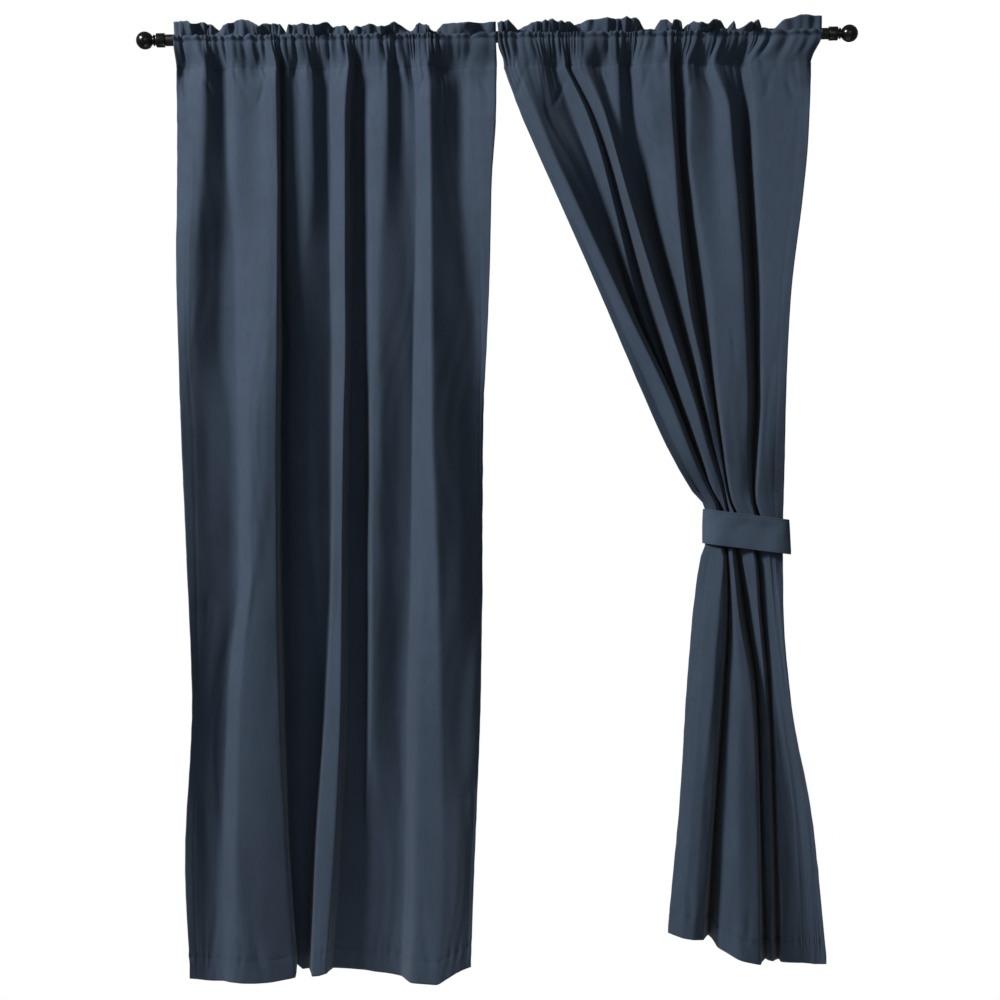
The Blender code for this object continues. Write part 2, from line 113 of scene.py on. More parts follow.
middle_seen = seen_at(np.array([0.0, 0.0, 0.0]))
print("The middle of the rod is seen at", [round(float(place), 1) for place in middle_seen])

# %% [markdown]
# ## Colours and materials
#
# Every colour is written as it is seen, as an sRGB hex value, and one function turns it into the
# linear values that shaders work with. The others add a node, a noise, a range and a relief, which
# every surface here is made of.

# %% Helpers for materials
def linear(hex_colour):
    """A linear RGBA colour from an sRGB hex value such as 7A8CA3."""
    parts = [int(hex_colour[i:i + 2], 16) / 255 for i in (0, 2, 4)]
    bright = [p / 12.92 if p <= 0.04045 else ((p + 0.055) / 1.055) ** 2.4 for p in parts]
    return (*bright, 1.0)


def add_node(tree, kind, settings=None, inputs=None, **links):
    """Adds a node, sets its properties and input values, and links other nodes' outputs to it."""
    node = tree.nodes.new(kind)
    for name, value in (settings or {}).items():
        setattr(node, name, value)
    for name, value in (inputs or {}).items():
        node.inputs[name].default_value = value
    for name, output in links.items():
        key = int(name[2:]) if name in ("in0", "in1") else name.replace("_", " ")
        tree.links.new(output, node.inputs[key])
    return node


def new_material(name, surface):
    """A named material, its tree, and its Principled shader with these inputs set."""
    material = bpy.data.materials.new(name)
    material.use_nodes = True
    tree = material.node_tree
    tree.nodes.clear()
    shader = add_node(tree, "ShaderNodeBsdfPrincipled", inputs=surface)
    add_node(tree, "ShaderNodeOutputMaterial", Surface=shader.outputs["BSDF"])
    return material, tree, shader


def noise(tree, place, size, detail=2.0, **more):
    """Soft noise with patches of about this size."""
    inputs = {"Scale": 1 / size, "Detail": detail, **more}
    return add_node(tree, "ShaderNodeTexNoise", inputs=inputs, Vector=place).outputs["Fac"]


def remapped(tree, value, low, high, start=0.0, end=1.0):
    """A value that goes from low to high while the given one goes from start to end."""
    limits = {"From Min": start, "From Max": end, "To Min": low, "To Max": high}
    return add_node(tree, "ShaderNodeMapRange", inputs=limits, Value=value).outputs["Result"]


def add_relief(tree, shader, height, strength, distance):
    """Lets a height bend the light on the shader's surface."""
    inputs = {"Strength": strength, "Distance": distance}
    bump = add_node(tree, "ShaderNodeBump", inputs=inputs, Height=height)
    tree.links.new(bump.outputs["Normal"], shader.inputs["Normal"])


print("Slate blue is", [round(value, 3) for value in linear("3A4758")], "in linear values")

# %% [markdown]
# ### Piece-dyed cotton
#
# The cloth is a plain weave of dyed cotton, close and firm, with a dull face. Dull cloth still has a
# faint bloom at a low angle, because loose fibre ends catch the light, so it gets a little sheen.
# Its threads are about 0.5 mm apart, which is finer than one point of the picture, so the weave is
# drawn four times as coarse. The weave reads the piece's own flat measure, the UV map in metres,
# so it runs with the thread in every fold. Large soft clouds make the dye a little uneven.

# %% The cotton
THREAD_SPACING = 0.5 * MM
DRAWN_SPACING = 4 * THREAD_SPACING
CLOUD_SIZE = 160 * MM
SLUB_LENGTH = 30 * MM
BANDS_IN_A_UNIT = 20 / (2 * math.pi)


def cotton(name, dye_and_painted_light, worn_and_painted_light):
    """Piece-dyed cotton: a fine weave, soft clouds in the dye and slubs along the threads."""
    material, tree, shader = new_material(name, {
        "Roughness": 0.85, "Specular IOR Level": 0.25, "Sheen Weight": 0.12, "Sheen Roughness": 0.45,
    })
    flat = add_node(tree, "ShaderNodeUVMap", {"uv_map": "flat_cloth"}).outputs["UV"]
    threads = []
    for turn in (0.0, math.pi / 2):
        turned = add_node(tree, "ShaderNodeMapping", inputs={"Rotation": (0, 0, turn)}, Vector=flat)
        wave = add_node(
            tree, "ShaderNodeTexWave", {"wave_type": "BANDS", "bands_direction": "X"},
            {"Scale": 1 / (BANDS_IN_A_UNIT * DRAWN_SPACING), "Distortion": 0.6, "Detail": 1.0},
            Vector=turned.outputs["Vector"],
        )
        threads.append(wave.outputs["Fac"])
    weave = add_node(tree, "ShaderNodeMath", {"operation": "MAXIMUM"}, in0=threads[0], in1=threads[1])
    add_relief(tree, shader, weave.outputs["Value"], 0.25, 0.25 * MM)
    clouds = noise(tree, flat, CLOUD_SIZE, 4.0, Roughness=0.6)
    # The two colours are the dye and its random clouds. The strap's colours are also painted lighter than
    # the panels' same dye, as painted light.
    dye = add_node(
        tree, "ShaderNodeMix", {"data_type": "RGBA"}, {"A": linear(dye_and_painted_light), "B": linear(worn_and_painted_light)},
        Factor=remapped(tree, clouds, 0.0, 1.0, 0.35, 0.7),
    )
    stretch = (1 / (3 * DRAWN_SPACING), 1 / SLUB_LENGTH, 1)
    stretched = add_node(tree, "ShaderNodeMapping", inputs={"Scale": stretch}, Vector=flat)
    slubs = noise(tree, stretched.outputs["Vector"], 1.0)
    shade = add_node(
        tree, "ShaderNodeVectorMath", {"operation": "SCALE"},
        in0=dye.outputs["Result"], Scale=remapped(tree, slubs, 0.93, 1.05, 0.3, 0.7),
    )
    tree.links.new(shade.outputs["Vector"], shader.inputs["Base Color"])
    return material


panel_cotton = cotton("Piece-dyed cotton, curtain panels", "3A4758", "3F4D5F")
# The strap is the same cloth and dye as the panels. Its colours are painted lighter, as painted light where
# the lamp falls more fully on the band.
strap_cotton_painted_lighter = cotton("Piece-dyed cotton, tieback, painted lighter", "414F61", "4A596B")
print("Made", panel_cotton.name, "and", strap_cotton_painted_lighter.name)

# %% [markdown]
# ### Black stoved enamel
#
# The rod and its ends are steel with a smooth black paint that is baked on. It is glossy, with a
# faint orange peel, so its highlights are soft and a little uneven.

# %% The enamel
PEEL_SIZE = 2.5 * MM
DUST_SIZE = 40 * MM


def enamel(name, colour, roughness):
    """Baked black paint with a faint orange peel."""
    material, tree, shader = new_material(
        name, {"Base Color": linear(colour), "Coat Weight": 0.3, "Coat Roughness": 0.15}
    )
    place = add_node(tree, "ShaderNodeTexCoord").outputs["Object"]
    dust = noise(tree, place, DUST_SIZE, 3.0)
    gloss = remapped(tree, dust, roughness * 0.8, roughness * 1.3, 0.35, 0.65)
    tree.links.new(gloss, shader.inputs["Roughness"])
    add_relief(tree, shader, noise(tree, place, PEEL_SIZE), 0.15, 0.05 * MM)
    return material


rod_enamel = enamel("Stoved black enamel, rod", "101012", 0.35)
finial_enamel = enamel("Stoved black enamel, finials", "0C0C0E", 0.22)
print("Made", rod_enamel.name, "and", finial_enamel.name)

# %% [markdown]
# ## The cloth
#
# A panel is one strip of cloth. It runs from the hem up the front, up against the front of the rod,
# up the front of the frill, down the frill's back, over the rod and down behind it, and ends where it
# is stitched to the front again. That closes the pocket that the rod goes through.
#
# A simulation could drape such a strip, but it would make folds of its own. These folds are known,
# so the strip is laid on them instead: one table row for each line that runs down the cloth, either
# the crest of a fold or the floor of a valley. Light comes from the left, so a face that rises to the
# right is pale, the drop behind its crest is dark, and the next pale face starts at the valley's floor.

# %% Sizes of the cloth
CLOTH_WIDTH = 1.016
CLOTH_THICKNESS = 1.1 * MM
LAYER_PITCH = 2.2 * MM
STITCH_DROP = 64 * MM
HEM_DEPTH = 51 * MM
SIDE_HEM = 25 * MM
STRAP_DROP = 1.108
ROD_RADIUS = 12.7 * MM
ROD_CLEARANCE = 1.3 * MM
WRAP_RADIUS = ROD_RADIUS + ROD_CLEARANCE + CLOTH_THICKNESS / 2
# Where the rows against the rod lie, in degrees up from level: the lowest one on both sides, those on
# the room side up to the seam, and those from the seam over the rod and down its wall side.
WRAP_LOW = math.radians(-28)
WRAP_ANGLES = [math.radians(angle) for angle in (-18, -8, 1, 9, 16)]
BACK_ANGLES = [math.radians(angle) for angle in (146, 120, 94, 66, 40, 16, -8)]
# The seam under the frill lies on the front of the rod, a little above its middle. The cloth is
# pushed together there, so it stands off the rod in gathers, and sinks between them.
SEAM_HEIGHT = 4 * MM
SEAM_FORWARD = 14.5 * MM
SEAM_CRIMP = 6 * MM
GATHER_DEPTH = 17 * MM
FRILL_LENGTH = 31 * MM
FRILL_TIP = 7 * MM
FRILL_NEARER = 6.6 * MM
FRILL_LEAST = 1.5 * MM
FRILL_TUCKS = 14 * MM
FRILL_RIPPLE = 7 * MM
FRILL_SEEN_Y = 25
POCKET_BULGE = 9 * MM
# From crest to crest: the larger gathers on the rod, the fine tucks at the seam, and the ripples of
# the frill. The pocket's back is the same wave, read a little further along.
GATHER_SPACING = 31 * MM
TUCK_SPACING = 17 * MM
RIPPLE_SPACING = 43 * MM
BACK_SHIFT = 20 * MM
# The swells of the hanging cloth: how far they stand out, and from crest to crest.
SLOW_SWELL, SLOW_SPACING = 0.9 * MM, 93 * MM
QUICK_SWELL, QUICK_SPACING = 0.3 * MM, 41 * MM
# Where each panel's middle is seen, and from where to where it is gathered on the rod, in metres.
LEFT_MIDDLE, LEFT_SPAN = 330, (-0.7172, -0.0025)
RIGHT_MIDDLE, RIGHT_SPAN = 720, (0.0025, 0.7205)

# A Line has, for each seen height of its panel, how far forward of the rod it lies in mm, and where
# it is seen. Its hem is how far below the rod it ends, and its roundness how soft its bend is, in mm.
Line = namedtuple("Line", "name hem roundness forward seen")
# A Ruffle is one crest or dip of the frill's top edge: where it is seen, how high it stands above
# the rod's axis in mm, and to which side it leans (-1 room, 1 wall, 0 upright).
Ruffle = namedtuple("Ruffle", "seen height lean")
# A Crease is one soft trough or ridge in the cloth: where its middle is seen, its half length and
# half width in mm, its tilt from upright in degrees, and how far it stands forward in mm.
Crease = namedtuple("Crease", "seen_x seen_y length width tilt forward")

# %% [markdown]
# ### The left panel
#
# It hangs straight. Its folds are narrow and even at the top, and some of them join on the way down:
# one broad fold is left of a deep gap, and a narrow one and two soft ones are right of it.

# %% The left panel's folds
LEFT_HEIGHTS = (66, 90, 120, 180, 260, 340, 430, 560, 700, 870, 977)
LEFT_LINES = [Line(*row) for row in (
    ("edge", 2079, 4, (14, 7, 6, 2, 12, 26, 44, 50, 52, 56, 48),
     (176.5, 176.5, 177, 177, 176, 178, 181, 186.5, 192, 185, 190)),
    ("edge roll", 2083, 6, (0, 10, 12, 24, 20, 24, 30, 40, 40, 46, 38),
     (190, 187, 187, 190, 187, 187, 193, 196, 198, 194, 197)),
    ("first crest", 2089, 6, (30, 30, 30, 27, 17, 18, 12, 24, 24, 28, 26),
     (205, 204.5, 204, 202, 196, 195, 207, 209, 207, 204, 206)),
    ("first floor", 2092, 6, (-14, -6, -6, -6, -24, -22, -8, -2, 2, 14, 22),
     (215, 222.5, 223, 225, 222, 222, 231, 232, 224, 218, 216)),
    ("broad foot", 2091, 5, (-10, -3, -4, -6, -25, -23, -7, -4, -1, 14, 25),
     (223, 226.5, 227, 229, 235, 236.5, 239, 240, 229, 224, 224)),
    ("broad bend", 2086, 7, (18, 14, 12, 5, -8, 4, 29, 41, 49, 56, 59),
     (234, 236, 236, 237, 242, 245, 248, 250, 238, 235, 234)),
    ("broad middle", 2089, 10, (0, 12, 10, 8, 6, 18, 34, 41, 45, 54, 56),
     (254, 257.5, 257, 256, 254, 256, 256, 256, 250, 244, 244)),
    ("broad shoulder", 2094, 8, (-2, 24, 24, 22, 22, 28, 34, 36, 39, 40, 38),
     (264, 270, 270, 270, 268, 266, 264, 266, 264, 266, 268)),
    ("broad crest", 2091, 3, (24, 27, 27, 27, 26, 28, 28, 28, 28, 18, 8),
     (276, 276.5, 277, 278, 277.5, 277.5, 277, 277, 280, 288, 295.6)),
    ("deep gap", 2082, 4, (-22, -25, -28, -36, -50, -58, -50, -54, -60, -66, -70),
     (280, 280.5, 280.5, 281, 281.5, 282, 280, 281, 284, 290, 297)),
    ("soft rise", 2088, 5, (6, -3, -4, -6, -22, -34, -32, -42, -52, -62, -68),
     (287, 286, 286, 284.5, 286, 290, 290, 292, 292, 296, 300)),
    ("soft dip", 2094, 7, (-14, -8, -9, -10, -17, -32, -30, -38, -48, -62, -68),
     (296, 293, 293, 296, 298, 299, 300, 304, 304, 302, 303)),
    ("soft crest", 2093, 7, (8, 0, -2, -8, -20, -34, -42, -50, -58, -66, -70),
     (309, 311.5, 312, 312, 306, 306, 312, 318, 314, 307, 306)),
    ("third floor", 2087, 4, (-26, -31, -33, -38, -48, -64, -66, -68, -70, -64, -52),
     (317, 322, 323, 327, 330, 331, 331, 331, 325, 314, 309.5)),
    ("narrow foot", 2087, 3, (-12, -28, -30, -31, -36, -46, 0, -4, -6, 4, 14),
     (329, 329, 330, 333, 334, 334, 334, 333.5, 327.5, 316.5, 312)),
    ("narrow rise", 2085, 4, (6, 4, 2, 0, -2, -4, 8, 0, -2, 8, 17),
     (340, 337, 337, 338, 339, 339.5, 339, 338, 333, 323, 319)),
    ("narrow crest", 2080, 3, (18, 19, 18, 15, 12, 9, 16, 4, 6, 9, 17),
     (349, 346.5, 345, 345, 345, 345.5, 343.5, 342, 341, 334, 326.5)),
    ("fourth floor", 2084, 5, (-26, -31, -34, -38, -42, -43, -44, -46, -46, -48, -44),
     (355, 352, 351, 351, 352, 352, 350, 349, 348, 341, 333)),
    ("fifth foot", 2091, 5, (-12, -26, -28, -31, -36, -40, -56, -60, -60, -58, -57),
     (360, 360, 361, 362, 364, 365, 366.5, 366.5, 366, 360, 352)),
    ("fifth rise", 2094, 5, (8, 0, -2, -8, -14, -14, -10, -10, -22, -58, -59),
     (371, 373, 372, 371, 371, 371.5, 371, 371, 371, 366, 366)),
    ("fifth crest", 2099, 7, (18, 15, 13, 6, -6, -8, -9, -14, -28, -57, -61),
     (388, 387.5, 387, 384, 380, 379, 380, 379, 378, 376, 374)),
    ("fifth floor", 2104, 7, (-16, -16, -18, -20, -24, -28, -34, -38, -50, -64, -67),
     (392.5, 396.5, 398, 402, 402, 400, 400, 396, 396, 392, 386)),
    ("minor ridge", 2107, 5, (6, -8, -12, -24, -31, -36, -42, -46, -54, -67, -70),
     (403, 408, 409, 411, 410, 409, 409, 406, 402, 398, 392)),
    ("sixth foot", 2112, 4, (-8, -14, -14, -24, -34, -42, -46, -48, -54, -66, -70),
     (410, 414.5, 416, 417, 416, 414, 413, 412, 408, 406, 402)),
    ("sixth shoulder", 2100, 5, (10, 12, 11, 8, 6, 5, 8, 8, 12, 20, 28),
     (418, 422.5, 423, 424, 422, 422, 422, 422, 417, 414, 411)),
    ("sixth crest", 2105, 4, (22, 21, 22, 22, 24, 26, 34, 32, 26, 22, 28),
     (428, 430, 430, 430.5, 431, 431.5, 432, 437, 440, 443, 437)),
    ("sixth wall", 2088, 6, (-14, -4, -4, -3, -4, -10, -4, -2, 2, 13, 17),
     (439, 445, 445, 446, 450, 456, 458, 462, 460, 458, 452)),
    ("last floor", 2080, 7, (-18, -30, -30, -24, -28, -36, -30, -30, -12, 2, 8),
     (457, 459.5, 460, 461, 467, 474, 472, 474, 474, 467, 460)),
    ("last face", 2077, 6, (-4, -15, -16, -13, -26, -38, -40, -40, -22, -5, 1),
     (469, 471.5, 471, 475, 479, 481, 479, 479, 479, 471, 466)),
    ("leading edge", 2074, 4, (0, -4, -4, -4, -22, -34, -46, -46, -24, -8, -2),
     (497, 496.5, 496, 492, 490, 487, 483, 482.5, 481, 475, 471.3)),
)]
LEFT_FRILL = [Ruffle(*row) for row in (
    (174, 43, 0), (189, 41, -1), (194.5, 28, -1), (201.6, 41, 0), (213, 36, 1), (218.6, 28, 1),
    (229, 35, 0), (239, 45, 0), (249, 41, -1), (261.4, 22, -1), (264, 35, 0), (281, 34, 0),
    (286.4, 18, 1), (290, 33, 0), (309.6, 34, 0), (316, 22, -1), (327.5, 38, 0), (333, 31, 1),
    (346, 30, 0), (350, 22, 1), (357, 26, 0), (374, 32, 0), (383, 16, -1), (394.5, 36, 0), (404, 29, 1),
    (411.4, 21, 1), (420, 35, 0), (430, 16, -1), (436, 16, 1), (443.4, 32, 0), (454, 33, 0),
    (465.7, 24, -1), (477.3, 33, 0), (497, 34, 0),
)]
print("The left panel hangs on", len(LEFT_LINES), "lines and its frill on", len(LEFT_FRILL), "points")

# %% [markdown]
# ### The right panel
#
# Its folds run together to the strap, which is at heights 508 to 544, and spread again below it.

# %% The right panel's folds
RIGHT_HEIGHTS = (66, 110, 150, 200, 300, 400, 450, 497, 508, 544, 558, 610, 700, 820, 963)
RIGHT_LINES = [Line(*row) for row in (
    ("leading edge", 1995, 4, (0, 4, 8, 14, 23, 31, 31, 24, 10, 8, 10, 13, 19, 20, 22),
     (504, 520, 537, 559, 603, 645.5, 668.7, 696.8, 706.4, 705.5, 701, 694, 687, 680.5, 668.5)),
    ("leading dip", 2003, 6, (8, 10, 14, 18, 21, 27, 25, 12, 20, 20, 20, 28, 37, 38, 40),
     (511, 527, 544, 566, 611, 656, 679, 703.6, 714, 714, 711, 705, 700, 692, 682)),
    ("leading crest", 2007, 4, (13, 18, 24, 30, 35, 41, 37, 6, 20, 24, 34, 43, 47, 42, 42),
     (517, 536, 552, 575, 622, 670, 690, 711, 717, 720, 723.5, 719, 713, 703, 694)),
    ("first wall", 2011, 5, (10, 2, 0, 0, 7, 11, 11, 2, 0, 0, 18, 35, 36, 32, 28),
     (540, 547, 566, 586, 627, 674, 693, 713.2, 719, 722.5, 726, 725.2, 720.5, 713.5, 704)),
    ("first floor", 2025, 5, (-16, -26, -36, -48, -56, -56, -36, -26, -28, -28, -30, -50, -64, -70, -74),
     (556, 572, 587, 604, 631, 675.5, 694.6, 715, 720.5, 724.8, 727.4, 729, 725, 717, 708)),
    ("second crest", 2026, 4, (6, 8, 6, -4, -16, -30, -24, -20, -18, -18, -16, -24, -28, -34, -42),
     (565, 586, 600, 613, 638, 677, 695.6, 715.2, 722, 726, 728.1, 729.8, 726.6, 719.2, 712)),
    ("second floor", 2035, 4, (-14, -20, -32, -46, -56, -50, -30, -27, -26, 16, 20, 17, 17, 10, 8),
     (569, 591, 605, 619, 647, 679, 696.8, 716, 723.4, 727.8, 728.8, 730.8, 728.4, 721, 719)),
    ("second swell", 2058, 6, (2, 2, 4, 4, 7, 22, 22, 6, -8, 22, 27, 30, 33, 29, 30),
     (574, 596, 611, 626, 654, 682.2, 699.6, 717.2, 724.2, 729.5, 730.6, 734, 740, 739, 741)),
    ("third crest", 2070, 4, (14, 20, 25, 28, 31, 33, 26, 9, 6, 27, 30, 35, 33, 22, 20),
     (584, 603, 615, 629, 660, 694.3, 708.6, 723.2, 725, 731.5, 733.2, 738.5, 753, 758, 760.5)),
    ("third dip", 2074, 4, (-12, -4, 2, 2, 3, 11, 12, 2, 0, 10, 12, 15, 11, 0, -4),
     (601, 611, 621, 635, 664.5, 695.9, 709.8, 724.2, 725.7, 732.7, 734.4, 739.8, 754, 759, 761.3)),
    ("third rib", 2076, 5, (8, 0, -12, -20, -26, -18, 4, -8, -6, -6, -6, -9, -18, -24, -28),
     (617, 620, 626, 639, 668, 697.6, 711, 725, 726.4, 733.8, 735.6, 741, 755, 760, 762)),
    ("third floor", 2082, 4, (-24, -30, -42, -52, -60, -58, -10, -20, -26, -28, -38, -62, -66, -68, -74),
     (628, 632, 641, 649, 675, 700.4, 713, 725.8, 727.8, 736.2, 738.4, 745, 757.5, 761, 765)),
    ("fourth swell", 2072, 8, (10, 8, 6, 4, 3, 16, 14, 4, 4, 16, 20, 11, 3, -10, -24),
     (637, 648, 656, 660, 681.5, 704, 715.4, 726.6, 729, 740, 742.5, 750, 760, 763, 769)),
    ("fourth crest", 2072, 4, (24, 26, 26, 24, 25, 12, 11, 8, 20, 27, 32, 29, 11, -6, -16),
     (670, 672, 675, 678, 688, 711, 719.6, 727.6, 731.5, 750, 755.2, 758.5, 766, 770, 773)),
    ("fourth floor", 2081, 4, (-16, -30, -42, -54, -64, -60, -40, -28, -28, -26, -30, -46, -56, -64, -70),
     (673.5, 676, 679, 683.5, 697.5, 714.6, 721.9, 729, 732, 754, 757.2, 761.5, 770, 775, 778)),
    ("fifth rise", 2076, 5, (14, 16, 16, 16, 23, 31, 31, 24, 26, 12, 4, 3, -3, -16, -22),
     (688, 690, 689, 695, 710, 718, 724.6, 732.2, 736.5, 757.5, 759.4, 763.6, 772.5, 777.5, 782)),
    ("fifth dip", 2081, 8, (-12, -4, 2, 12, 31, 33, 29, 23, 27, 20, 16, 13, 1, -24, -36),
     (704, 713, 714, 717, 726, 734, 738, 742, 746, 761, 762.2, 767, 775.5, 784, 792)),
    ("fifth crest", 2084, 4, (8, 22, 28, 34, 39, 32, 22, 15, 28, 24, 22, 19, 9, -26, -44),
     (714, 729, 733, 738, 745, 749, 748.5, 751, 753, 765, 766.3, 771, 780, 793, 802)),
    ("fifth floor", 2087, 4, (-26, -38, -48, -56, -62, -60, -48, -30, -28, 24, 23, 22, 15, -24, -48),
     (742, 746, 748, 750, 754, 757, 754.5, 753.2, 754.5, 769, 770.2, 774.5, 784, 799, 810)),
    ("sixth rise", 2089, 6, (14, 14, 14, 14, 17, 26, 28, 24, 21, 22, 22, 25, 19, -18, -50),
     (750, 754, 754.5, 756, 760, 761.5, 758.8, 756.2, 758.5, 773, 774.2, 778, 787, 804, 816)),
    ("sixth crest", 2089, 6, (22, 26, 30, 30, 31, 28, 21, 14, 18, 19, 20, 31, 25, -10, -50),
     (799, 802, 799, 794, 783, 778, 776, 775, 776, 778, 778, 781, 789.5, 808, 822)),
    ("trailing edge", 2088, 4, (12, 30, 34, 34, 33, 27, 18, 9, 14, 12, 16, 30, 25, -5, -48),
     (811.5, 810, 808, 803, 791, 786, 785, 784, 783.5, 783, 783, 783.6, 791, 812, 826.5)),
)]
RIGHT_FRILL = [Ruffle(*row) for row in (
    (497, 33, 0), (508.6, 31, -1), (517.5, 23, 1), (531.8, 31, 0), (549.6, 31, -1), (565.7, 23, -1),
    (569.3, 34, 0), (574.6, 30, 1), (592.5, 39, 0), (626.4, 35, -1), (637, 30, -1), (644, 21, 1),
    (653.5, 16, 1), (659.8, 35, 0), (666.4, 35, 0), (670.6, 18, -1), (673, 34, 0), (678, 36, 0),
    (683, 21, 1), (693, 33, 0), (696.3, 19, -1), (706.2, 16, -1), (712.9, 36, 0), (719.5, 34, 0),
    (726, 16, 1), (732.8, 31, 0), (736, 16, 1), (744.4, 16, -1), (756.8, 32, 0), (764.3, 16, 1),
    (774, 16, 1), (782.5, 34, 0), (799, 43, 0), (821.2, 41, 0),
)]
print("The right panel hangs on", len(RIGHT_LINES), "lines and its frill on", len(RIGHT_FRILL), "points")

# %% [markdown]
# ### Creases
#
# Short pulls, puckers and dimples come on top of the folds. Those by a side edge are where the edge's
# narrow hem is a little tight, those under the pocket are where its stitching draws, and those near
# the strap are where the cloth is pressed together.

# %% The creases
LEFT_CREASES = [Crease(*row) for row in (
    (481, 206, 24, 5, 70, -4), (478, 392, 22, 5, 68, -3.5), (476, 419, 22, 5, 75, -3),
    (474, 789, 28, 6, 70, -4), (184, 390, 20, 5, -62, -3), (210, 611, 18, 7, 25, -3.5),
    (429, 590, 16, 8, 12, -4), (406, 788, 28, 5, -55, -4.5), (184, 80, 42, 7, 4, -4),
    (425, 97, 14, 9, 0, 3), (206, 82, 30, 5, 22, -3), (240, 84, 30, 5, 24, -3),
    (262, 90, 28, 5, -18, -3), (298, 84, 26, 4, 16, -3), (338, 84, 26, 4, -14, -2.5),
    (372, 90, 30, 5, 18, -3), (421, 86, 24, 4, -20, -3), (484, 88, 30, 6, 15, -3),
    (258, 955, 60, 10, 8, -3), (212, 950, 46, 8, -8, -3), (426, 945, 50, 7, 6, -3),
)]
RIGHT_CREASES = [Crease(*row) for row in (
    (652, 122, 46, 26, -25, 6), (687, 90, 18, 8, -30, -3.5), (734, 346, 16, 6, -10, -4),
    (681, 214, 16, 4, 20, -3.5), (698, 493, 15, 3.5, -55, -3), (714, 480, 24, 9, -40, 4),
    (747, 506, 20, 8, 32, -4), (800, 776, 15, 5, -68, -3.5), (799, 796, 15, 5, -72, -3.5),
    (811, 826, 15, 5, -74, -3.5), (812, 848, 14, 5, -70, -3), (813, 872, 15, 5, -74, -3.5),
    (813, 892, 14, 5, -70, -3), (764, 915, 9, 3.5, 10, -4), (520, 84, 26, 5, -24, -3),
    (560, 92, 30, 5, -28, -3), (605, 84, 24, 4, 18, -3), (645, 82, 24, 5, -16, -3),
    (708, 84, 28, 5, 20, -3), (768, 84, 28, 6, -16, -3), (790, 88, 30, 6, 12, -3.5),
    (748, 930, 44, 8, -10, -3), (690, 905, 40, 8, 10, -3),
)]
print("The panels have", len(LEFT_CREASES), "and", len(RIGHT_CREASES), "creases")

# %% [markdown]
# ### Curves that are never quite even
#
# Between two table rows the cloth follows a smooth curve that never goes beyond them. Small gathers
# have no rows of their own. Cloth that is pushed together on a rod makes waves that are never quite
# alike, so one function gives a wave whose spacing and height drift as it runs along, and another one
# gives it sharp floors, as tucks have.

# %% Curves and waves
def eased(places, values, place):
    """Values at one place between rows, on a smooth curve that never overshoots a row."""
    places = np.asarray(places, float)
    values = np.asarray(values, float)
    steps = np.diff(places)
    rises = np.diff(values, axis=-1) / steps
    slopes = np.zeros_like(values)
    same_way = rises[..., 1:] * rises[..., :-1] > 0
    total = np.where(same_way, rises[..., 1:] + rises[..., :-1], 1.0)
    slopes[..., 1:-1] = np.where(same_way, 2 * rises[..., 1:] * rises[..., :-1] / total, 0.0)
    slopes[..., 0], slopes[..., -1] = rises[..., 0], rises[..., -1]
    row = int(np.clip(np.searchsorted(places, place) - 1, 0, len(steps) - 1))
    width = steps[row]
    t = float(np.clip((place - places[row]) / width, 0, 1))
    start, end = values[..., row], values[..., row + 1]
    out = (2 * t**3 - 3 * t**2 + 1) * start + (t**3 - 2 * t**2 + t) * width * slopes[..., row]
    return out + (3 * t**2 - 2 * t**3) * end + (t**3 - t**2) * width * slopes[..., row + 1]


def bell(distance, width):
    """1 at no distance, and close to 0 at twice the width and beyond."""
    return np.exp(-((distance / width) ** 2))


def drifting_wave(along, spacing, start):
    """A wave from -1 to 1 whose spacing and height drift."""
    turn = 2 * math.pi * along / spacing + start
    drift = 1.3 * np.sin(turn * 0.23 + 2 * start) + 0.8 * np.sin(turn * 0.41 + start)
    height = 0.72 + 0.28 * np.sin(turn * 0.17 + 3 * start)
    return height * np.sin(turn + drift)


def drifting_tuck(along, spacing, start):
    """As drifting_wave, but with a sharp floor between round crests, as in gathered cloth."""
    turn = math.pi * along / spacing + start
    drift = 0.7 * np.sin(turn * 0.46 + 2 * start) + 0.4 * np.sin(turn * 0.82 + start)
    height = 0.7 + 0.3 * np.sin(turn * 0.34 + 3 * start)
    return height * (2 * np.abs(np.sin(turn + drift)) ** 0.8 - 1)


sample = drifting_wave(np.linspace(0, CLOTH_WIDTH, 500), GATHER_SPACING, 0)
print("A drifting wave goes from", round(float(sample.min()), 2), "to", round(float(sample.max()), 2))

# %% [markdown]
# ### How a strip hangs
#
# A panel knows its lines. Asked for a height and for places across the cloth, it gives the points
# there: on its folds where it hangs, spread into small gathers on the rod, and upright in the frill.
# Close to the seam the gathers are small and tight, and further away they join into larger ones.

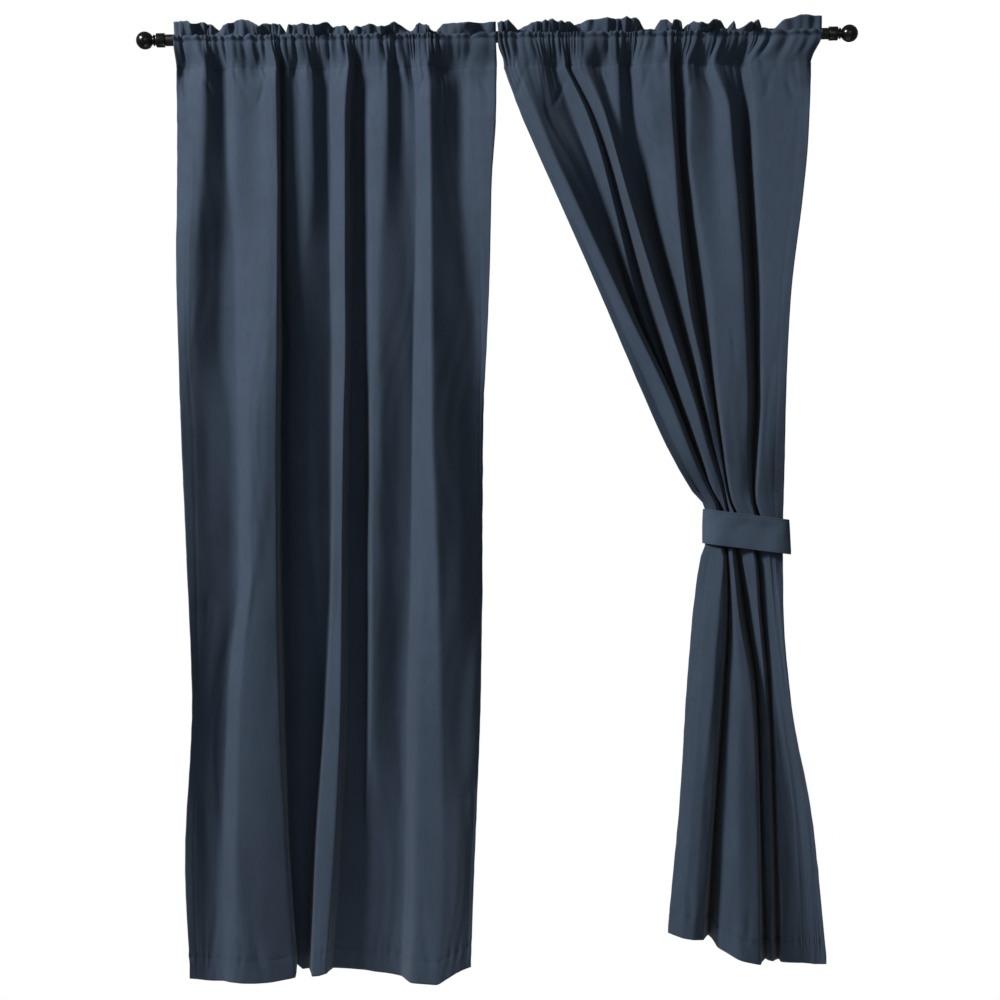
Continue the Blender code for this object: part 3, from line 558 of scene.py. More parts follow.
# %% The panel
class Panel:
    """One strip of cloth laid on its lines."""

    def __init__(self, middle, heights, lines, frill, rod_span, start):
        self.drops = on_rod_plane(middle, heights)[1]
        seen = np.array([line.seen for line in lines])
        self.rights = on_rod_plane(seen, np.array(heights)[None, :])[0]
        self.forwards = np.array([line.forward for line in lines]) * MM
        self.hems = np.array([line.hem for line in lines]) * MM
        self.roundness = np.array([line.roundness for line in lines]) * MM
        self.rod_span = rod_span
        self.start = start
        self.frill_places = on_rod_plane([row.seen for row in frill], FRILL_SEEN_Y)[0]
        self.frill_rises = np.array([row.height for row in frill]) * MM
        self.frill_leans = np.array([row.lean for row in frill])
        lengths = [np.hypot(*np.diff(self.lines(drop), axis=1)) for drop in self.drops]
        self.marks = np.concatenate([[0.0], np.cumsum(np.mean(lengths, axis=0))])
        self.marks *= CLOTH_WIDTH / self.marks[-1]

    def lines(self, drop):
        """(x, y) of every line at one height."""
        forward = eased(self.drops, self.forwards, drop)
        return nearer(eased(self.drops, self.rights, drop), forward), -forward

    def softened(self, values, u, least=0.0):
        """Values given on the lines, at places u across the cloth, with the bends rounded."""
        marks = np.concatenate([[-self.marks[1]], self.marks, [2 * self.marks[-1] - self.marks[-2]]])
        values = np.concatenate([[2 * values[0] - values[1]], values, [2 * values[-1] - values[-2]]])
        spread = np.linspace(-2, 2, 9)
        weights = np.exp(-(spread**2) / 2)
        weights /= weights.sum()
        reach = np.maximum(np.interp(u, self.marks, self.roundness), least)
        moved = u[:, None] + spread[None, :] * reach[:, None]
        return np.interp(moved, marks, values) @ weights

    def hanging(self, drop, u):
        """Points of the cloth where it hangs. A hem that is drawn up pulls only what is below the strap."""
        x, y = (self.softened(values, u) for values in self.lines(drop))
        held = min(STRAP_DROP, drop)
        share = (self.softened(self.hems, u) - STRAP_DROP) / (self.hems.max() - STRAP_DROP)
        return np.stack([x, y, -(held + (drop - held) * share)], axis=1)

    def on_rod(self, u):
        """X of the cloth on the rod, where the folds spread into small gathers."""
        x = self.softened(self.lines(self.drops[0])[0], u, 22 * MM)
        left, right = self.rod_span
        return left + (x - x[0]) * (right - left) / (x[-1] - x[0])

    def gathers(self, u, near, shift=0.0):
        """Uneven gathers from 0 to 1: the folds below, and finer tucks that are deep near the seam."""
        folds = self.softened(-self.lines(self.drops[0])[1], u, 5 * MM) / (24 * MM)
        middle = drifting_tuck(u + shift, GATHER_SPACING, self.start)
        fine = drifting_tuck(u + shift, TUCK_SPACING, self.start + 2)
        return np.clip(0.45 + 0.2 * folds + 0.26 * middle + (0.06 + 0.38 * near) * fine, 0, 1)

    def round_rod(self, angle, side, u):
        """The cloth against the rod. Angle is from level upwards, side -1 room and 1 wall."""
        near = min(1, (angle - WRAP_LOW) / (WRAP_ANGLES[-1] - WRAP_LOW))
        depth = GATHER_DEPTH * (0.5 + 0.5 * math.cos(angle))
        gathers = self.gathers(u, near, BACK_SHIFT if side > 0 else 0.0)
        radius = WRAP_RADIUS + depth * gathers
        height = WRAP_RADIUS * math.sin(angle) - SEAM_CRIMP * near * near * (1 - gathers)
        return np.stack([self.on_rod(u), side * radius * math.cos(angle), height], axis=1)

    def below_rod(self, part, side, u):
        """Between the rod (part 0) and the pocket's stitching (part 1), on either side."""
        top = self.round_rod(WRAP_LOW, side, u)
        bottom = self.hanging(STITCH_DROP, u)
        if side > 0:
            along = np.gradient(bottom, axis=0)
            to_wall = np.stack([-along[:, 1], along[:, 0], np.zeros_like(u)], axis=1)
            bottom += LAYER_PITCH * to_wall / np.linalg.norm(to_wall, axis=1, keepdims=True)
            bottom[:, 2] += LAYER_PITCH
        out = top + (bottom - top) * (part * part * (3 - 2 * part))
        out[:, 2] = top[:, 2] * (1 - part) + bottom[:, 2] * part
        out[:, 1] += side * POCKET_BULGE * math.sin(math.pi * part) * (self.gathers(u, 1 - part) - 0.5)
        return out

    def frill(self, u, parts):
        """The frill's middle surface at the given parts of its height, and the way to the wall there."""
        x = self.on_rod(u)
        height = np.interp(x, self.frill_places, self.frill_rises) - FRILL_NEARER
        height = np.maximum(height, SEAM_HEIGHT + FRILL_LEAST)
        rise = np.clip((height - SEAM_HEIGHT) / FRILL_LENGTH, 0.1, 1.0)
        lean = FRILL_LENGTH * np.sqrt(1 - rise**2) * np.interp(x, self.frill_places, self.frill_leans)
        base = SEAM_HEIGHT - SEAM_CRIMP * (0.85 - self.gathers(u, 1.0))
        tuck = self.gathers(u, 0.8) - 0.5
        ripple = drifting_wave(u, RIPPLE_SPACING, self.start + 1)
        rows = []
        for part in parts:
            waves = FRILL_TUCKS * tuck * (0.5 + part * (1 - part)) + FRILL_RIPPLE * ripple * part
            y = waves + lean * part**1.4 - FRILL_TIP * part - SEAM_FORWARD
            rows.append(np.stack([x, y, base + (height - base) * part], axis=1))
        grid = np.array(rows)
        normals = np.cross(np.gradient(grid, axis=0), np.gradient(grid, axis=1))
        normals /= np.linalg.norm(normals, axis=2, keepdims=True)
        return grid, np.where(normals[..., 1:2] < 0, -normals, normals)


left_panel = Panel(LEFT_MIDDLE, LEFT_HEIGHTS, LEFT_LINES, LEFT_FRILL, LEFT_SPAN, start=0.4)
right_panel = Panel(RIGHT_MIDDLE, RIGHT_HEIGHTS, RIGHT_LINES, RIGHT_FRILL, RIGHT_SPAN, start=2.1)
for name, panel in (("left", left_panel), ("right", right_panel)):
    needed = [float(np.hypot(*np.diff(panel.lines(drop), axis=1)).sum()) for drop in panel.drops]
    print("The", name, "folds take", [round(length, 2) for length in needed], "m of cloth")

# %% [markdown]
# ### From rows to a sheet
#
# Each row of the strip is a row of points, and the rows make a grid. They are close together at the
# hem and near the rod, where the cloth is stitched and gathered, and further apart between.

# %% The rows of the strip
HEM_ROWS = (0, 5, 11, 18, 26, 34, 42, 48, 51, 54, 60, 68)
HANG_STEP = 25 * MM
TOP_STEP = 5.2 * MM
TOP_ZONE = 190 * MM
FRONT_PARTS = (0.84, 0.68, 0.52, 0.36, 0.2, 0.08, 0.0)
BACK_PARTS = (0.0, 0.1, 0.25, 0.5, 0.75, 1.0)
FRILL_PARTS = (0, 0.18, 0.36, 0.54, 0.72, 0.88, 1.0)


def strip_rows(panel, u):
    """Every row of the strip in order, the drops of those that hang, and the number of the seam's."""
    longest = panel.hems.max()
    drops = [longest - rise * MM for rise in HEM_ROWS]
    for end, step in ((TOP_ZONE, HANG_STEP), (STITCH_DROP, TOP_STEP)):
        drops += list(np.linspace(drops[-1], end, round((drops[-1] - end) / step) + 1)[1:])
    frill, to_wall = panel.frill(u, FRILL_PARTS)
    shift = to_wall * (LAYER_PITCH / 2)
    rows = [panel.hanging(drop, u) for drop in drops]
    rows += [panel.below_rod(part, -1, u) for part in FRONT_PARTS]
    rows += [panel.round_rod(angle, -1, u) for angle in WRAP_ANGLES]
    seam = len(rows)
    rows += [*(frill - shift), *(frill + shift)[::-1]]
    rows += [panel.round_rod(angle, 1, u) for angle in BACK_ANGLES]
    rows += [panel.below_rod(part, 1, u) for part in BACK_PARTS]
    return np.array(rows), np.array(drops), seam


def way_out(grid):
    """The unit normals of a grid of points, on the side that faces the room on the hanging part."""
    normals = np.cross(np.gradient(grid, axis=1), np.gradient(grid, axis=0))
    return normals / np.maximum(np.linalg.norm(normals, axis=2, keepdims=True), 1e-9)


print("The strip has", len(HEM_ROWS), "rows in the hem and", 2 * len(FRILL_PARTS), "in the frill")

# %% [markdown]
# Where it hangs, the cloth is then made a little uneven, with slow swells of about 1 mm, and the
# named creases are added. The hem, the side hems and the pocket are stitched through several layers,
# so the cloth is drawn in along them and puckers beside them. Geometry and not bump is used for all
# of this, because the folds throw real shadows.

# %% The lie of the cloth
def swells(u, drops, start):
    """Slow swells and quicker ones that wander as they go down."""
    out = np.zeros((len(drops), len(u)))
    for row, drop in enumerate(drops):
        slow_u = u + 50 * MM * math.sin(drop * 5 + start)
        quick_u = u + 30 * MM * math.sin(drop * 9)
        out[row] = SLOW_SWELL * drifting_wave(slow_u, SLOW_SPACING, start + drop * 0.8)
        out[row] += QUICK_SWELL * drifting_wave(quick_u, QUICK_SPACING, start + 1 + drop * 1.6)
    return out


def creased(crease, seen_x, seen_y):
    """How far one crease stands out at the places that are seen there."""
    tilt = math.radians(crease.tilt)
    right = (seen_x - crease.seen_x) * SEEN_UNIT
    down = (seen_y - crease.seen_y) * SEEN_UNIT
    along = (down * math.cos(tilt) + right * math.sin(tilt)) / (crease.length * MM)
    aside = (right * math.cos(tilt) - down * math.sin(tilt)) / (crease.width * MM)
    bend = 0.35 * np.sin(along * 2.2)
    return crease.forward * MM * np.exp(-(along**2) - (aside - bend) ** 2)


def sewn_in(u, drops, start):
    """How far the stitched hems and the pocket draw the cloth in, and pucker it beside them."""
    above_hem = (drops.max() - drops)[:, None] - HEM_DEPTH
    under_pocket = (drops - STITCH_DROP)[:, None]
    short = 0.7 * drifting_wave(u, 24 * MM, start) + 0.5 * drifting_wave(u, 13 * MM, start + 2)
    out = bell(above_hem, 14 * MM) * 0.9 * MM * drifting_wave(u, 27 * MM, start + 4)
    out = out - bell(above_hem, 3.5 * MM) * 0.9 * MM
    out += np.exp(-under_pocket / (34 * MM)) * 2.4 * MM * short
    out -= bell(under_pocket, 4 * MM) * 1.2 * MM
    wave = drifting_wave(drops, 47 * MM, start + 5)[:, None]
    for edge in (u, CLOTH_WIDTH - u):
        out += 1.0 * MM * bell(edge, 26 * MM) * wave - 0.7 * MM * bell(edge - SIDE_HEM, 3.5 * MM)
    return out


def lie_of_cloth(grid, drops, u, panel, creases):
    """How far each point of the hanging part stands out from its fold."""
    seen_x, seen_y = seen_at(grid[:len(drops)])
    out = swells(u, drops, panel.start) + sewn_in(u, drops, panel.start)
    return out + sum(creased(crease, seen_x, seen_y) for crease in creases)


deepest = min(crease.forward for crease in LEFT_CREASES + RIGHT_CREASES)
print("The deepest crease is", -deepest, "mm deep")

# %% [markdown]
# The grid becomes a mesh with a UV map in metres of flat cloth, so that the weave keeps its scale.
# Solidify then gives the sheet its thickness. It stays a live modifier, because the sheet can then be
# read as a sheet, and the folds are easier to change.

# %% Make the panels
COLUMNS = 310


def add_piece(name, mesh, *materials):
    """An object of this mesh in the scene, with its materials."""
    piece = bpy.data.objects.new(name, mesh)
    bpy.context.scene.collection.objects.link(piece)
    for material in materials:
        mesh.materials.append(material)
    return piece


def grid_mesh(name, grid, across, along):
    """A mesh over a grid of points, with its flat place in the cloth as UV."""
    rows, columns = grid.shape[:2]
    mesh = bpy.data.meshes.new(name)
    numbers = np.arange(rows * columns).reshape(rows, columns)
    corners = np.stack(
        [numbers[:-1, :-1], numbers[:-1, 1:], numbers[1:, 1:], numbers[1:, :-1]], axis=-1
    ).reshape(-1, 4)
    mesh.from_pydata(grid.reshape(-1, 3).tolist(), [], corners.tolist())
    flat = np.stack(np.meshgrid(across, along), axis=-1).reshape(-1, 2)
    layer = mesh.uv_layers.new(name="flat_cloth")
    layer.data.foreach_set("uv", flat[corners.reshape(-1)].astype(np.float32).reshape(-1))
    mesh.shade_smooth()
    return mesh


def make_panel(name, panel, creases):
    """The piece, its grid of points, and the rows where it is stitched."""
    u = np.linspace(0, CLOTH_WIDTH, COLUMNS)
    grid, drops, seam = strip_rows(panel, u)
    hanging = len(drops)
    lift = lie_of_cloth(grid, drops, u, panel, creases)
    grid[:hanging] += way_out(grid)[:hanging] * lift[..., None]
    steps = np.linalg.norm(np.diff(grid, axis=0), axis=2).mean(axis=1)
    along = np.concatenate([[0.0], np.cumsum(steps)])
    mesh = grid_mesh(name, grid, u, along)
    piece = add_piece(name, mesh, panel_cotton)
    solid = piece.modifiers.new("Cloth thickness", "SOLIDIFY")
    solid.thickness = CLOTH_THICKNESS
    solid.offset = 0
    print(name, "has", len(mesh.polygons), "faces, and is", round(along[-1], 3), "m long")
    return piece, grid, (HEM_ROWS.index(round(HEM_DEPTH / MM)), hanging - 1, seam)


left_piece, left_grid, left_sewn = make_panel("curtain_left", left_panel, LEFT_CREASES)
right_piece, right_grid, right_sewn = make_panel("curtain_right", right_panel, RIGHT_CREASES)

# %% [markdown]
# ## The tieback
#
# The strap is a band of doubled cloth, 77 mm high, that goes once round the drawn-in panel. It falls
# a little to the right, its edges are pressed and stitched, and its two ends stand out at the right
# with nothing to hide them. Its section is drawn once, as a flat ring with round edges, and carried
# along a curve in plan. That keeps the edges crisp, which a simulated band would lose.

# %% The strap's tables
STRAP_HEIGHT = 77 * MM
STRAP_THICKNESS = 2.4 * MM
STRAP_SLOPE = math.radians(-7.8)
STRAP_STITCH = 4 * MM
STRAP_STEP = 3.2 * MM
STRAP_SIDES = {"left": 450.5 * MM, "right": 636 * MM}
# The strap is this much wider at its foot than at its top, across and from front to back.
STRAP_FLARE = (0.030, 0.075)
# From the front end round the bundle to the back end: how far right of the strap's left or right
# side, and how far towards the wall, in mm.
PlanPoint = namedtuple("PlanPoint", "side beyond depth")
STRAP_PLAN = [PlanPoint(*row) for row in (
    ("right", 0, -24.5), ("right", -8, -29.5), ("right", -20, -33.5), ("right", -42, -35.6),
    ("right", -94, -35.4), ("left", 36, -34.6), ("left", 12, -26.8), ("left", 0, -10),
    ("left", 0, 10), ("left", 12, 26.4), ("left", 36, 33.8), ("right", -94, 33.8),
    ("right", -42, 33.8), ("right", -16, 25.7), ("right", -3, 9), ("right", 0, -8),
    ("right", 1.5, -19.8),
)]
# Each dent has its place along the strap from the front end, its height from the middle, its half
# length, its half height, and how deep it is, all in mm.
Dent = namedtuple("Dent", "place height length width depth")
STRAP_DENTS = [Dent(*row) for row in (
    (50, 15, 26, 11, 3.4), (92, 19, 18, 8, 2.2), (112, 6, 34, 12, 1.2),
    (150, -16, 26, 12, -1.2), (14, -10, 12, 16, 1.2), (166, 22, 12, 7, 1.4),
)]
print("The strap turns at", len(STRAP_PLAN), "points and has", len(STRAP_DENTS), "dents")

# %% [markdown]
# The curve goes softly through the plan's points and is cut into even steps. At each step the section
# is set across it, a little out or in where the cloth is dented, and the rings are joined with faces.

# %% Make the tieback
def strap_curve():
    """Points at even steps along the strap in plan, the way outward there, and how far along they are."""
    points = np.array([(STRAP_SIDES[p.side] + p.beyond * MM, p.depth * MM) for p in STRAP_PLAN])
    padded = np.vstack([2 * points[0] - points[1], points, 2 * points[-1] - points[-2]])
    curve = []
    for a, b, c, d in zip(padded, padded[1:], padded[2:], padded[3:]):
        for t in np.arange(0, 1, 0.04):
            bend = (2 * a - 5 * b + 4 * c - d) * t**2 + (3 * b - a - 3 * c + d) * t**3
            curve.append(0.5 * (2 * b + (c - a) * t + bend))
    curve = np.array(curve + [points[-1]])
    lengths = np.concatenate([[0.0], np.cumsum(np.linalg.norm(np.diff(curve, axis=0), axis=1))])
    places = np.linspace(0, lengths[-1], round(lengths[-1] / STRAP_STEP) + 1)
    path = np.stack([np.interp(places, lengths, curve[:, axis]) for axis in (0, 1)], axis=1)
    ahead = np.gradient(path, axis=0)
    ahead /= np.linalg.norm(ahead, axis=1, keepdims=True)
    outward = np.stack([-ahead[:, 1], ahead[:, 0]], axis=1)
    outward *= np.sign(((path - path.mean(axis=0)) * outward).sum(axis=1).mean())
    return path, outward, places


def strap_section():
    """(height, out) round the band's section in metres: up its outer face and down its inner one."""
    half, thick = STRAP_HEIGHT / 2, STRAP_THICKNESS / 2
    edge = [-1, -0.985, -0.955, -0.93, -0.9, -0.87]
    heights = np.array([*edge, *np.linspace(-0.8, 0.8, 13), *(-e for e in reversed(edge))]) * half
    from_edge = half - np.abs(heights)
    body = thick * np.sqrt(np.clip(from_edge / (1.6 * MM), 0, 1))
    groove = 0.55 * MM * bell(from_edge - STRAP_STITCH, 1.2 * MM)
    face = np.where(from_edge > 0, body - groove, 0)
    outer = np.stack([heights, face], axis=1)
    return np.vstack([outer, (outer * (1, -1))[-2:0:-1]])


def strap_rings(path, outward, places, section):
    """The section's points at each step of the curve."""
    height, out = section[:, 0], section[:, 1]
    middle = sum(STRAP_SIDES.values()) / 2
    wide, deep = (1 - share * height / STRAP_HEIGHT for share in STRAP_FLARE)
    rings = []
    for (x, y), (out_x, out_y), place in zip(path, outward, places):
        soft = 0.9 * MM * math.sin(place * 41 + 0.6) * np.cos(height / STRAP_HEIGHT * 2.4 + place * 17)
        soft = soft + 0.5 * MM * np.sin(place * 93 + height * 60)
        for dent in STRAP_DENTS:
            along = (place - dent.place * MM) / (dent.length * MM)
            up = (height / MM - dent.height) / dent.width
            soft = soft - dent.depth * MM * np.exp(-(along**2) - up**2)
        near_end = min(1, min(place, places[-1] - place) / (14 * MM))
        lift = np.maximum(out + 0.8 * MM + soft * near_end, out - 2.6 * MM)
        right = (x + out_x * lift - middle) * wide
        up = height + math.tan(STRAP_SLOPE) * right - STRAP_DROP
        rings.append(np.stack([middle + right, (y + out_y * lift) * deep, up], axis=1))
    return np.array(rings)


def finished_mesh(name, work):
    """A smooth mesh with crisp corners from the work so far."""
    bmesh.ops.recalc_face_normals(work, faces=work.faces)
    mesh = bpy.data.meshes.new(name)
    work.to_mesh(mesh)
    work.free()
    mesh.shade_smooth()
    mesh.set_sharp_from_angle(angle=math.radians(50))
    return mesh


def strap_mesh(rings, places, section):
    """The rings joined with faces and closed at both ends, with flat places as UV."""
    work = bmesh.new()
    layer = work.loops.layers.uv.new("flat_cloth")
    verts = [[work.verts.new(point) for point in ring] for ring in rings]
    count, sides = rings.shape[:2]
    for i in range(count - 1):
        for j in range(sides):
            k = (j + 1) % sides
            corners = ((i, j), (i, k), (i + 1, k), (i + 1, j))
            face = work.faces.new([verts[a][b] for a, b in corners])
            for loop, (a, b) in zip(face.loops, corners):
                loop[layer].uv = (places[a], section[b][0])
    for ring in (verts[0], verts[-1][::-1]):
        for j in range(sides // 2):
            corners = [ring[k % sides] for k in (j, j + 1, sides - 1 - j, sides - j)]
            work.faces.new(list(dict.fromkeys(corners)))
    return finished_mesh("tieback_strap", work)


section = strap_section()
path, outward, places = strap_curve()
rings = strap_rings(path, outward, places, section)
strap_piece = add_piece("tieback_strap", strap_mesh(rings, places, section), strap_cotton_painted_lighter)

# %% [markdown]
# ## Rod and finials
#
# Both are turned: one outline carried round the rod's axis. The outline of a finial runs from the
# seat on the rod's end, over the collar and the neck with its small ring, to the tip of the ball.
# The rings are built directly, so that the poles close in one point and the corners stay crisp.

# %% Make the rod and the finials
ROD_LENGTH = 1.478
SEAT_GAP = 0.3 * MM
COLLAR_RADIUS, COLLAR_LENGTH = 15.5 * MM, 20 * MM
NECK_RADIUS, NECK_RING_RADIUS, NECK_LENGTH = 9.5 * MM, 12.5 * MM, 9 * MM
BALL_RADIUS = 19.5 * MM
TURNED_SIDES = 72


def rounded(corner, start, end, size, steps=5):
    """A corner of an outline, rounded off to this size."""
    corner, start, end = (np.array(p, float) for p in (corner, start, end))
    a = corner + (start - corner) / np.linalg.norm(start - corner) * size
    b = corner + (end - corner) / np.linalg.norm(end - corner) * size
    return [tuple((1 - t) ** 2 * a + 2 * t * (1 - t) * corner + t * t * b) for t in np.linspace(0, 1, steps)]


def softened_outline(points, sizes):
    """An outline whose inner corners are rounded, each by its own size."""
    out = [points[0]]
    for i in range(1, len(points) - 1):
        out += rounded(points[i], points[i - 1], points[i + 1], sizes[i - 1])
    return out + [points[-1]]


def make_turned(name, outline, start, side, material):
    """A piece turned about the rod's axis. The outline is (out from start, radius), closed at both ends."""
    work = bmesh.new()
    turns = [2 * math.pi * k / TURNED_SIDES for k in range(TURNED_SIDES)]
    rings = []
    for along, radius in outline:
        ring = [(radius * math.cos(t), radius * math.sin(t)) for t in turns] if radius > 1e-7 else [(0, 0)]
        rings.append([work.verts.new((start + side * along, y, z)) for y, z in ring])
    for a, b in zip(rings, rings[1:]):
        for k in range(TURNED_SIDES):
            n = (k + 1) % TURNED_SIDES
            corners = [a[k % len(a)], a[n % len(a)], b[n % len(b)], b[k % len(b)]]
            work.faces.new(list(dict.fromkeys(corners)))
    return add_piece(name, finished_mesh(name, work), material)


seat = math.asin(NECK_RADIUS / BALL_RADIUS)
neck_end = COLLAR_LENGTH + NECK_LENGTH
ball_centre = neck_end + BALL_RADIUS * math.cos(seat)
collar = softened_outline(
    [(0, 0), (0, COLLAR_RADIUS), (COLLAR_LENGTH, COLLAR_RADIUS), (COLLAR_LENGTH, NECK_RADIUS),
     (COLLAR_LENGTH + 3 * MM, NECK_RADIUS), (COLLAR_LENGTH + 3.6 * MM, NECK_RING_RADIUS),
     (COLLAR_LENGTH + 6.3 * MM, NECK_RING_RADIUS), (COLLAR_LENGTH + 7 * MM, NECK_RADIUS),
     (neck_end, NECK_RADIUS)],
    [1.2 * MM, 1.6 * MM, 0.6 * MM, 0.4 * MM, 0.8 * MM, 0.8 * MM, 0.4 * MM],
)
angles = np.linspace(seat, math.pi, 30)
ball = [(ball_centre - BALL_RADIUS * math.cos(a), BALL_RADIUS * math.sin(a)) for a in angles[1:-1]]
finial_outline = collar + ball + [(ball_centre + BALL_RADIUS, 0)]
finial_pieces = {}
for name, side in (("left", -1), ("right", 1)):
    start = side * (ROD_LENGTH / 2 + SEAT_GAP)
    finial_pieces[name] = make_turned("ball_finial_" + name, finial_outline, start, side, finial_enamel)
rod_outline = softened_outline(
    [(0, 0), (0, ROD_RADIUS), (ROD_LENGTH, ROD_RADIUS), (ROD_LENGTH, 0)], [0.8 * MM, 0.8 * MM]
)
rod_piece = make_turned("curtain_rod", rod_outline, -ROD_LENGTH / 2, 1, rod_enamel)
print("A finial has", len(finial_outline), "rings of", TURNED_SIDES, "points")

# %% [markdown]
# ## Stitching
#
# The hem, the pocket and the frill's seam are sewn with a lockstitch, and so are the strap's edges.
# A stitch is a thing that repeats along a line, so Geometry Nodes make it: the line becomes a curve,
# points are set on it one stitch apart, and each gets a small thread, a stretched ball with few faces.
# The last node turns the copies into real mesh.

# %% The thread and the stitch tree
STITCH_PITCH = 3.6 * MM
STITCH_LENGTH = 2.7 * MM
THREAD_RADIUS = 0.32 * MM


def spun_thread(name, colour):
    """Spun polyester thread: dull, with a slight lengthwise grain."""
    material, tree, shader = new_material(
        name, {"Base Color": linear(colour), "Specular IOR Level": 0.3}
    )
    fuzz = noise(tree, add_node(tree, "ShaderNodeTexCoord").outputs["Object"], 0.8 * MM)
    tree.links.new(remapped(tree, fuzz, 0.6, 0.9), shader.inputs["Roughness"])
    add_relief(tree, shader, fuzz, 0.2, 0.05 * MM)
    return material


def stitch_tree():
    """Geometry Nodes: a chain of edges becomes a row of stitches."""
    tree = bpy.data.node_groups.new("Stitches along a line", "GeometryNodeTree")
    for way in ("INPUT", "OUTPUT"):
        tree.interface.new_socket("Geometry", in_out=way, socket_type="NodeSocketGeometry")
    given = add_node(tree, "NodeGroupInput").outputs["Geometry"]
    line = add_node(tree, "GeometryNodeMeshToCurve", Mesh=given)
    points = add_node(
        tree, "GeometryNodeCurveToPoints", {"mode": "LENGTH"}, {"Length": STITCH_PITCH},
        Curve=line.outputs["Curve"],
    )
    stitch = add_node(
        tree, "GeometryNodeMeshUVSphere", inputs={"Segments": 6, "Rings": 4, "Radius": THREAD_RADIUS}
    )
    turned = add_node(
        tree, "FunctionNodeAlignRotationToVector", {"axis": "Z"}, Vector=points.outputs["Tangent"]
    )
    copies = add_node(
        tree, "GeometryNodeInstanceOnPoints",
        inputs={"Scale": (1, 1, STITCH_LENGTH / THREAD_RADIUS / 2)},
        Points=points.outputs["Points"], Instance=stitch.outputs["Mesh"],
        Rotation=turned.outputs["Rotation"],
    )
    real = add_node(tree, "GeometryNodeRealizeInstances", Geometry=copies.outputs["Instances"])
    add_node(tree, "NodeGroupOutput", Geometry=real.outputs["Geometry"])
    return tree


thread = spun_thread("Spun polyester thread, slate", "343F4F")
stitches = stitch_tree()
print("Made", thread.name, "and", stitches.name)

# %% [markdown]
# Each row of stitches follows a line just proud of the cloth: three rows of a panel's grid, and the
# two lines along the strap's outer face that are nearest to its stitching.

# %% Sew
def sew(name, lines):
    """One mesh of stitches along the given lines of points."""
    mesh = bpy.data.meshes.new(name)
    points, edges = [], []
    for line in lines:
        edges += [(len(points) + i, len(points) + i + 1) for i in range(len(line) - 1)]
        points += [tuple(point) for point in line]
    mesh.from_pydata(points, edges, [])
    guide = add_piece(name + "_guide", mesh)
    guide.modifiers.new("Stitches", "NODES").node_group = stitches
    bpy.context.view_layer.update()
    depsgraph = bpy.context.evaluated_depsgraph_get()
    made = bpy.data.meshes.new_from_object(guide.evaluated_get(depsgraph))
    bpy.data.objects.remove(guide)
    made.name = name
    made.shade_smooth()
    made.materials.clear()  # the balls come with one empty slot
    print(name, "has", len(made.polygons), "faces")
    return add_piece(name, made, thread)


def panel_lines(grid, sewn):
    """Lines just proud of the cloth's outer face, along the rows that are sewn."""
    out = way_out(grid)
    proud = CLOTH_THICKNESS / 2 + THREAD_RADIUS * 0.5
    return [(grid[row] + out[row] * proud)[1:-1] for row in sewn]


def strap_lines():
    """Lines just proud of the strap's outer face, above and below."""
    lines = []
    for side in (-1, 1):
        off = np.abs(section[:, 0] - side * (STRAP_HEIGHT / 2 - STRAP_STITCH))
        line = rings[:, int(np.argmin(off - section[:, 1]))]
        outward = (line - rings.mean(axis=(0, 1))) * (1, 1, 0)
        outward /= np.linalg.norm(outward, axis=1, keepdims=True)
        lines.append((line + outward * 0.2 * MM)[1:-1])
    return lines


left_seams = sew("stitches_left", panel_lines(left_grid, left_sewn))
right_seams = sew("stitches_right", panel_lines(right_grid, right_sewn))
strap_seams = sew("stitches_tieback", strap_lines())

# %% [markdown]
# ## What stands for what
#
# Every piece rides on the one body, because nothing on this part moves. Each piece takes the place of the
# solid that it refines.

# %% Ride and replace
for piece, node, slot in (
    (left_piece, "panel_left", "panel_cloth"), (right_piece, "panel_right", "panel_cloth"),
    (strap_piece, "tieback", "tieback_cloth"), (rod_piece, "rod", "rod_paint"),
    (finial_pieces["left"], "finial_left", "finial_paint"),
    (finial_pieces["right"], "finial_right", "finial_paint"),
):
    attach(piece, "root")
    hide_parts(node)
for piece, slot in (
    (left_seams, "panel_cloth"), (right_seams, "panel_cloth"), (strap_seams, "tieback_cloth"),
):
    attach(piece, "root")

# %% [markdown]
# ## Floor and light
#
# The floor is plain and pale, well below the hems. One soft lamp stands to the left, in front and
# above, and gives each fold its pale and its dark side. A weak one in front and a dim white sky keep
# the dark sides from turning black, and a third lamp lights the wall side for views from behind.
# The sky is brighter for the camera, for a white background.

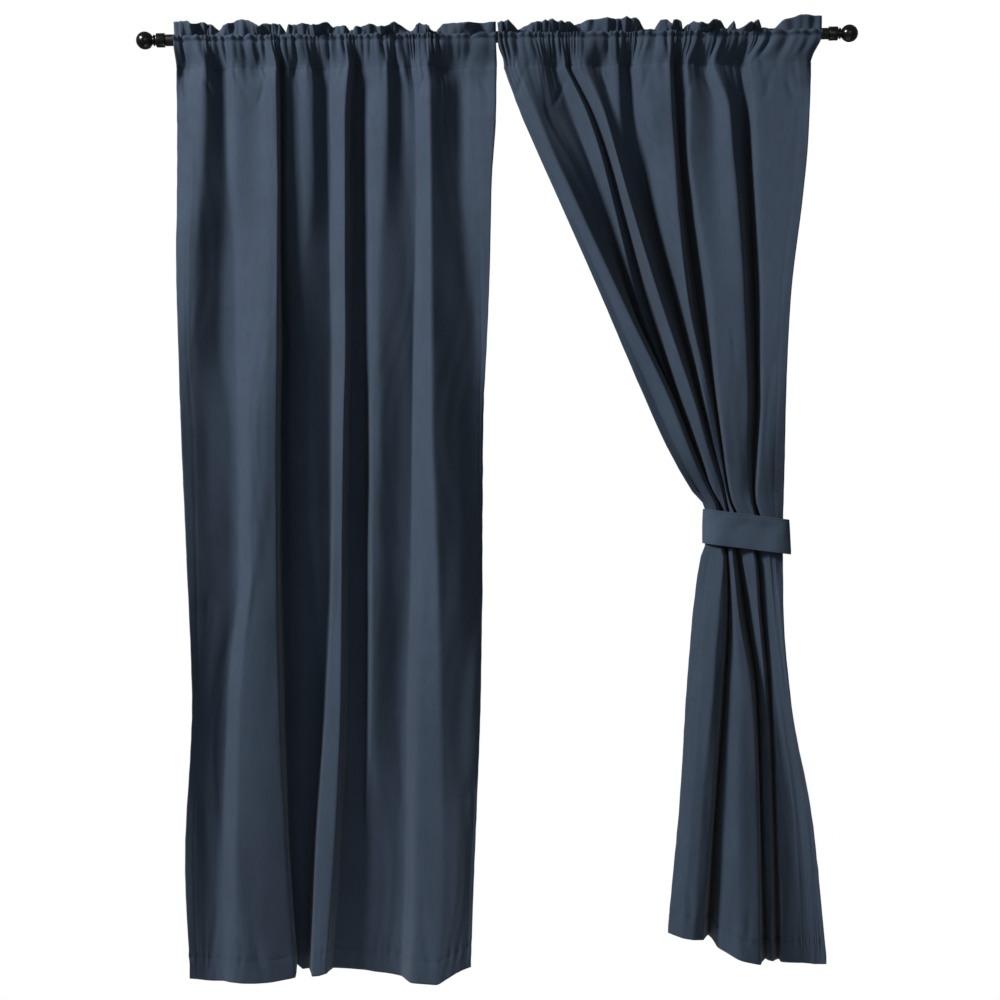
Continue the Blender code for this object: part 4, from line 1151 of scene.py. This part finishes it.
# %% The floor and the lights
FLOOR_DROP = 2.65
FLOOR_RADIUS = 1.25
SKY_LIGHT, SKY_SEEN = 0.1, 1.0


def soft_lamp(name, place, target, size, power):
    """A square lamp at a place, turned to face a target."""
    data = bpy.data.lights.new(name, "AREA")
    data.shape = "SQUARE"
    data.size = size
    data.energy = power
    lamp = bpy.data.objects.new(name, data)
    bpy.context.scene.collection.objects.link(lamp)
    lamp.location = place
    x, y, z = np.array(target) - np.array(place)
    lamp.rotation_euler = (math.pi / 2 + math.atan2(z, math.hypot(x, y)), 0, math.atan2(y, x) - math.pi / 2)


floor_mesh = bpy.data.meshes.new("floor")
work = bmesh.new()
bmesh.ops.create_circle(work, cap_ends=True, segments=96, radius=FLOOR_RADIUS)
bmesh.ops.translate(work, verts=work.verts, vec=(0, 0, -FLOOR_DROP))
work.to_mesh(floor_mesh)
work.free()
floor_paint, tree, shader = new_material("Matt white floor paint", {"Base Color": linear("F6F6F6")})
mottle = add_node(tree, "ShaderNodeTexNoise", inputs={"Scale": 1.5}).outputs["Fac"]
tree.links.new(remapped(tree, mottle, 0.85, 0.95), shader.inputs["Roughness"])
floor = add_piece("floor", floor_mesh, floor_paint)

soft_lamp("Key lamp", (-3.75, -2.75, 1.9), (0, 0, -0.9), 1.1, 310)
soft_lamp("Front lamp", (0.6, -4.6, 0.2), (0, 0, -1.0), 2.4, 12)
soft_lamp("Back lamp", (1.2, 4.4, 0.4), (0, 0, -1.0), 2.4, 70)
world = bpy.data.worlds.new("Studio")
bpy.context.scene.world = world
world.use_nodes = True
tree = world.node_tree
tree.nodes.clear()
seen = add_node(tree, "ShaderNodeLightPath").outputs["Is Camera Ray"]
sky = add_node(
    tree, "ShaderNodeBackground", inputs={"Color": (1, 1, 1, 1)},
    Strength=remapped(tree, seen, SKY_LIGHT, SKY_SEEN),
)
add_node(tree, "ShaderNodeOutputWorld", Surface=sky.outputs["Background"])
bpy.context.scene.view_settings.view_transform = "Standard"
print("The floor is", FLOOR_DROP, "m below the rod")
